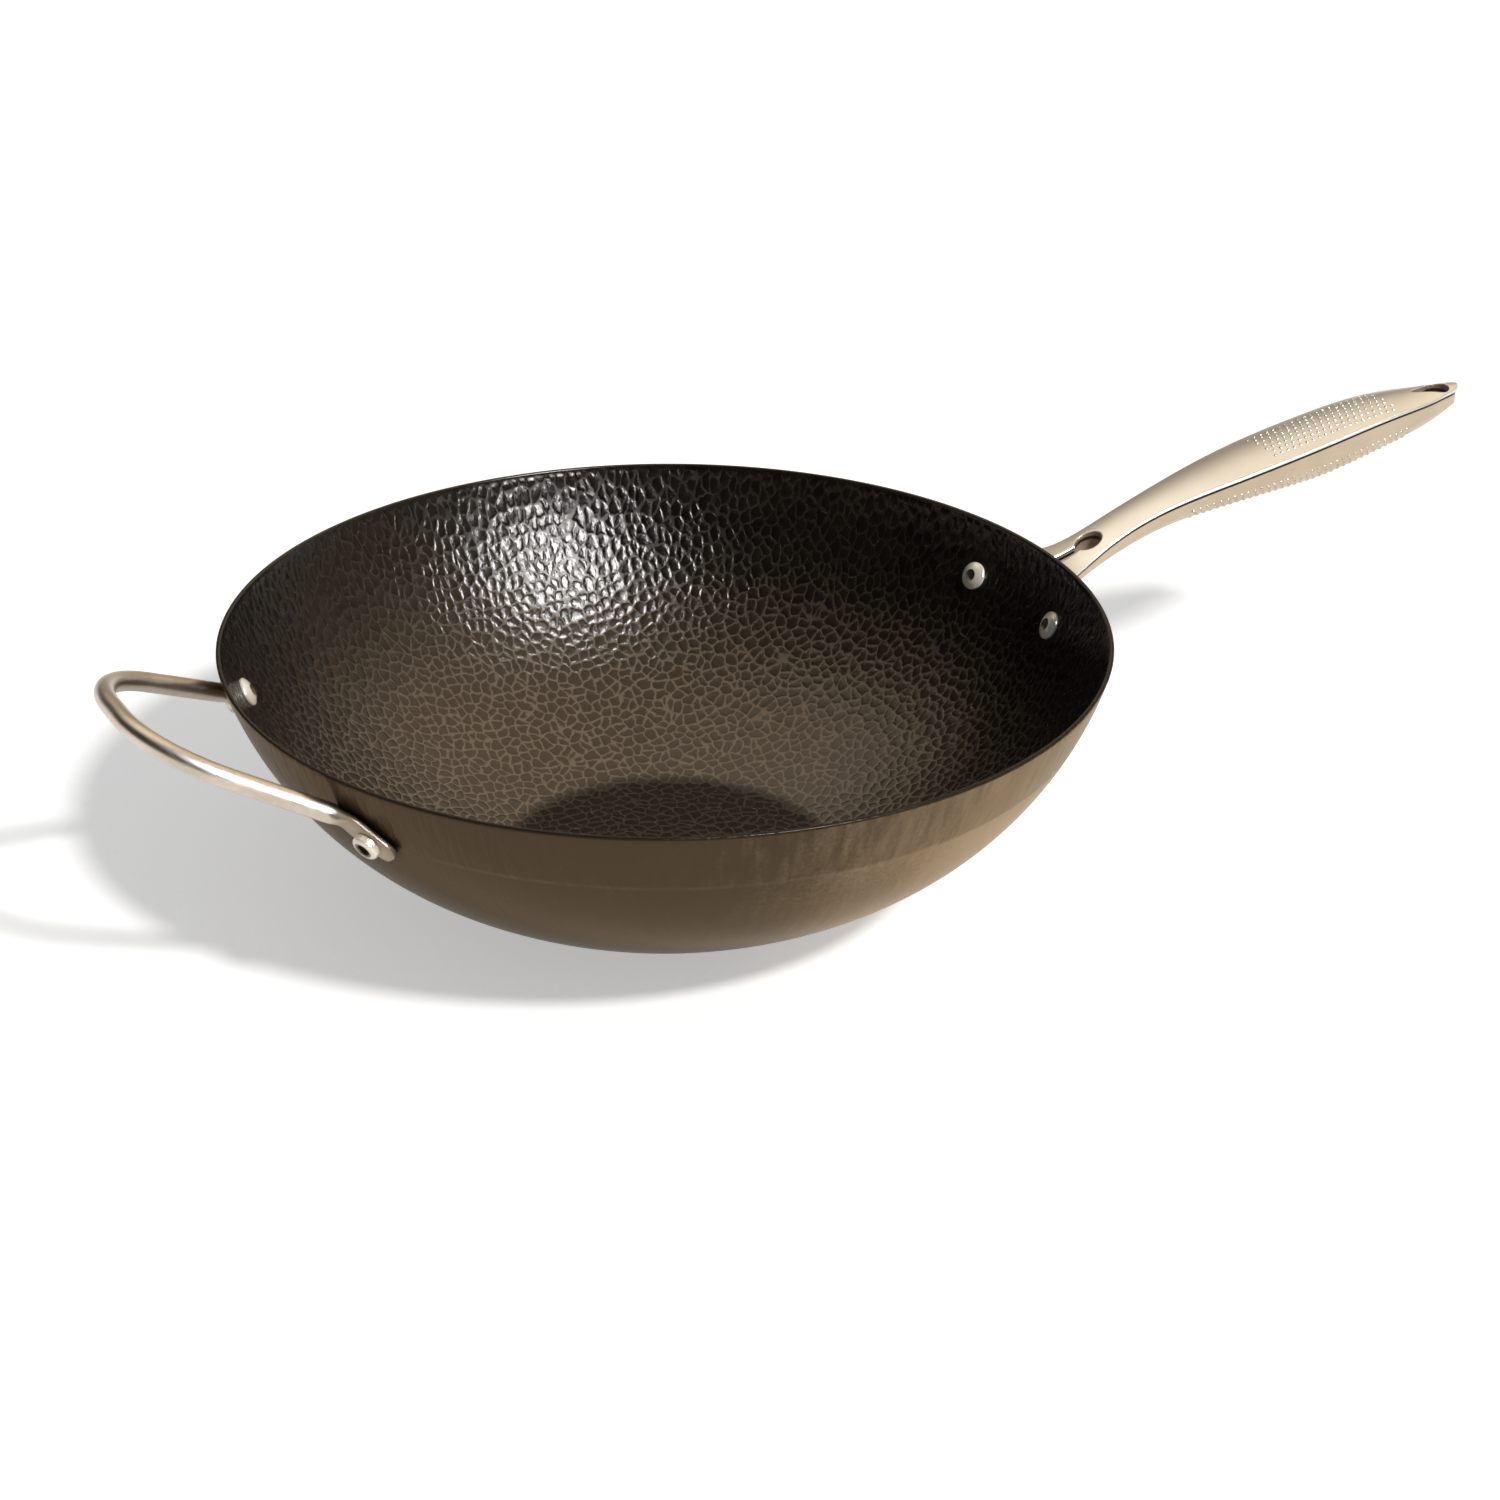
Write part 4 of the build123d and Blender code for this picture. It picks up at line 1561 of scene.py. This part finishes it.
    def build(self, finish: Material, under: Material, dotted: Material, lower: Piece) -> None:
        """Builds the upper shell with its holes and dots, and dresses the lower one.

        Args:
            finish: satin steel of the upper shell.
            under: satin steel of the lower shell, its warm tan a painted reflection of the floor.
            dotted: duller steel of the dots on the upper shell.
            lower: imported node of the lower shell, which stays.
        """
        piece = skin("handle_top", self.upper_rings())
        cut_out(piece, [self.cutter("hanging", self.teardrop), self.cutter("fork", self.keyhole)])
        wear_slot(piece, Slot.HANDLE, [finish], "handle_upper_shell")
        self.build_dots("grip_dots_top", *self.top_dots(), dotted)
        self.build_dots("grip_dots_belly", *self.belly_dots(), under)
        for slot in lower.material_slots:
            slot.material = under
        log.info("handle_lower_shell keeps its packed shape")


# Studio


@dataclass
class Studio:
    """Pale floor, one key lamp, the world's light and the camera at the photograph's angle."""

    camera_place: tuple = (-472.86 * MM, -916.23 * MM, 564.34 * MM)
    heading: float = 0.50584
    dip: float = 0.46589
    roll: float = 0.00814
    lens: float = 75.73
    sensor: float = 36.0
    sight: tuple = (0.05, 20.0)
    key_from: tuple = (0.34, -0.96, 1.0)
    key_power: float = 2.6
    key_angle: float = 0.11
    key_colour: tuple = (1.0, 0.985, 0.96)
    floor_half: float = 6.0
    floor_colour: tuple = (0.86, 0.86, 0.86, 1.0)
    floor_rough: float = 0.9
    floor_shine: float = 0.1
    ambient: float = 0.24
    glow: float = 0.43
    dark_side: tuple = (0.01, 0.0085, 0.007, 1.0)
    warm_side: tuple = (1.2, 1.03, 0.80, 1.0)
    warm_from: tuple = (0.66, 0.1, 0.745)
    warm_falloff: float = 1.7
    warm_zone: tuple = (0.12, 0.65, 0.45, 1.0)
    horizon_zone: tuple = (0.02, 0.12)
    box_heading: float = math.radians(170.0)
    box_rise: float = math.radians(40.0)
    box_half: tuple = (0.13, 0.29)
    box_soft: float = 0.1
    least_ahead: float = 0.02
    box_white: tuple = (41.0, 48.0, 60.0, 1.0)
    top_from: tuple = (-0.04, 0.5, 0.865)
    top_zone: tuple = (0.86, 0.99)
    top_white: tuple = (1.35, 1.22, 1.03, 1.0)

    def set_camera(self) -> None:
        """Camera whose view, right and up directions follow from its heading, dip and roll."""
        level = np.array([math.sin(self.heading), math.cos(self.heading), 0.0]) * math.cos(self.dip)
        view = level - np.array([0.0, 0.0, math.sin(self.dip)])
        right = np.array([math.cos(self.heading), -math.sin(self.heading), 0.0])
        tilted = right * math.cos(self.roll) + np.cross(right, view) * math.sin(self.roll)
        turn = Matrix((tilted, np.cross(tilted, view), -view)).transposed().to_4x4()
        lens = bpy.data.cameras.new("camera")
        lens.sensor_width, lens.lens = self.sensor, self.lens
        lens.clip_start, lens.clip_end = self.sight
        camera = bpy.data.objects.new("camera", lens)
        camera.matrix_world = Matrix.Translation(self.camera_place) @ turn
        bpy.context.scene.collection.objects.link(camera)
        bpy.context.scene.camera = camera

    def lay_floor(self) -> None:
        """Wide pale floor that takes the object's shadow and looks white where it is lit."""
        wide = self.floor_half
        corners = np.array([[-wide, -wide, 0.0], [wide, -wide, 0.0], [wide, wide, 0.0], [-wide, wide, 0.0]])
        floor = new_piece("floor", corners, [(0, 1, 2, 3)])
        material, wire, shader, _ = start_material("pale_floor")
        matt = {"Roughness": self.floor_rough, "Specular IOR Level": self.floor_shine}
        wire.feed(shader, {"Base Color": self.floor_colour} | matt)
        path = wire.add("LightPath").outputs
        seen = wire.math("MAXIMUM", path["Is Camera Ray"], path["Is Glossy Ray"])
        seen = wire.math("MAXIMUM", seen, path["Is Transmission Ray"])
        glow, none = (
            wire.add("Emission", {"Color": WHITE, "Strength": strength}).outputs[0]
            for strength in (self.glow, 0.0)
        )
        lift = wire.add("MixShader", {0: seen, 1: none, 2: glow})
        both = wire.add("AddShader", {0: shader.outputs[0], 1: lift.outputs[0]})
        wire.feed(wire.tree.nodes["Material Output"], {"Surface": both.outputs[0]})
        floor.data.materials.append(material)

    def box_mask(self, wire: Wiring, way: Socket) -> Socket:
        """Mask of the soft box in front.

        A direction is in the box when its share along the box's width and its share along the height,
        each divided by its share straight ahead, are both small.

        Args:
            wire: wiring of the world.
            way: direction that is looked in.

        Returns:
            The mask's socket.
        """
        ahead = Vector((math.sin(self.box_heading), math.cos(self.box_heading), 0.0))
        ahead *= math.cos(self.box_rise)
        ahead.z = math.sin(self.box_rise)
        across = ahead.cross((0.0, 0.0, 1.0)).normalized()
        straight = wire.math("MAXIMUM", wire.measure("DOT_PRODUCT", way, tuple(ahead)), self.least_ahead)
        masks = []
        for side, half in zip((across, across.cross(ahead)), self.box_half):
            off = wire.math("ABSOLUTE", wire.over(wire.measure("DOT_PRODUCT", way, tuple(side)), straight))
            masks.append(wire.ramp(off, half - self.box_soft / 2, half + self.box_soft / 2, 1.0, 0.0))
        return wire.times(*masks)

    def set_world(self) -> None:
        """Even light for matt surfaces, white to the camera, and to reflections a studio.

        The studio is white along the horizon like the floor. Higher up it is warm over the object and to
        its right and dark on the left, with a small white top light over the handle and one tall bright
        soft box in front.
        """
        world = bpy.data.worlds.new("studio")
        world.use_nodes = True
        bpy.context.scene.world = world
        wire = Wiring(world.node_tree)
        even = world.node_tree.nodes["Background"]
        wire.feed(even, {"Color": WHITE, "Strength": self.ambient})
        way = wire.add("TexCoord").outputs["Generated"]
        rise = wire.split(way)["Z"]
        warm = wire.math("MAXIMUM", wire.measure("DOT_PRODUCT", way, self.warm_from), 0.0)
        warm = wire.times(wire.math("POWER", warm, self.warm_falloff), wire.ramp(rise, *self.warm_zone))
        above = wire.mix(warm, self.dark_side, self.warm_side)
        top = wire.ramp(wire.measure("DOT_PRODUCT", way, self.top_from), *self.top_zone)
        above = wire.mix(top, above, self.top_white)
        above = wire.mix(self.box_mask(wire, way), above, self.box_white)
        room = wire.mix(wire.ramp(rise, *self.horizon_zone), WHITE, above)
        mirrored = wire.add("Background", {"Color": room, "Strength": 1.0})
        white = wire.add("Background", {"Color": WHITE, "Strength": 1.0})
        path = wire.add("LightPath").outputs
        seen = wire.math("MAXIMUM", path["Is Camera Ray"], path["Is Transmission Ray"])
        lit = wire.add("MixShader", {0: path["Is Glossy Ray"], 1: even.outputs[0], 2: mirrored.outputs[0]})
        mixed = wire.add("MixShader", {0: seen, 1: lit.outputs[0], 2: white.outputs[0]})
        wire.feed(world.node_tree.nodes["World Output"], {"Surface": mixed.outputs[0]})

    def light(self) -> None:
        """One distant key lamp, soft at the shadow's edge, from the front right."""
        light = bpy.data.lights.new("key", "SUN")
        light.energy, light.angle, light.color = self.key_power, self.key_angle, self.key_colour
        lamp = bpy.data.objects.new("key", light)
        lamp.rotation_euler = (-Vector(self.key_from)).to_track_quat("-Z", "Y").to_euler()
        lamp.location = self.key_from
        lamp.visible_glossy = False
        bpy.context.scene.collection.objects.link(lamp)

    def build(self) -> None:
        """Sets the whole studio up."""
        bpy.context.scene.view_settings.view_transform = "Standard"
        self.set_camera()
        self.lay_floor()
        self.set_world()
        self.light()


def main() -> None:
    """Builds the studio and every piece in order."""
    logging.basicConfig(level=logging.INFO, format="%(name)s: %(message)s")
    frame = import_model()
    Studio().build()
    wall = Wall()
    handle, helper = LongHandle(wall), HelperHandle(wall)
    riveting = Riveting(wall, helper)
    seam_shade_and_holes = SeamShadeAndHoles(handle)
    lower = frame["nodes"]["handle_lower_shell"]
    Bowl(wall).build(SeasonedInside().make(riveting.rings()), BronzedOutside().make(riveting.rod_shadow()))
    handle.build(CROWN_STEEL.make(seam_shade_and_holes), BELLY_STEEL_WARM_REFLECTION.make(seam_shade_and_holes), DOT_STEEL.make(), lower)
    # The rod's flattened ends take painted shade.
    helper.build(ROD_STEEL.make(marks=riveting.rod_end_shade()))
    # The rivet tail middles take painted shade.
    riveting.build(RIVET_STEEL.make(marks=riveting.tail_shade_spots()), SHADED_PIT_STEEL.make())


if __name__ == "__main__":
    main()
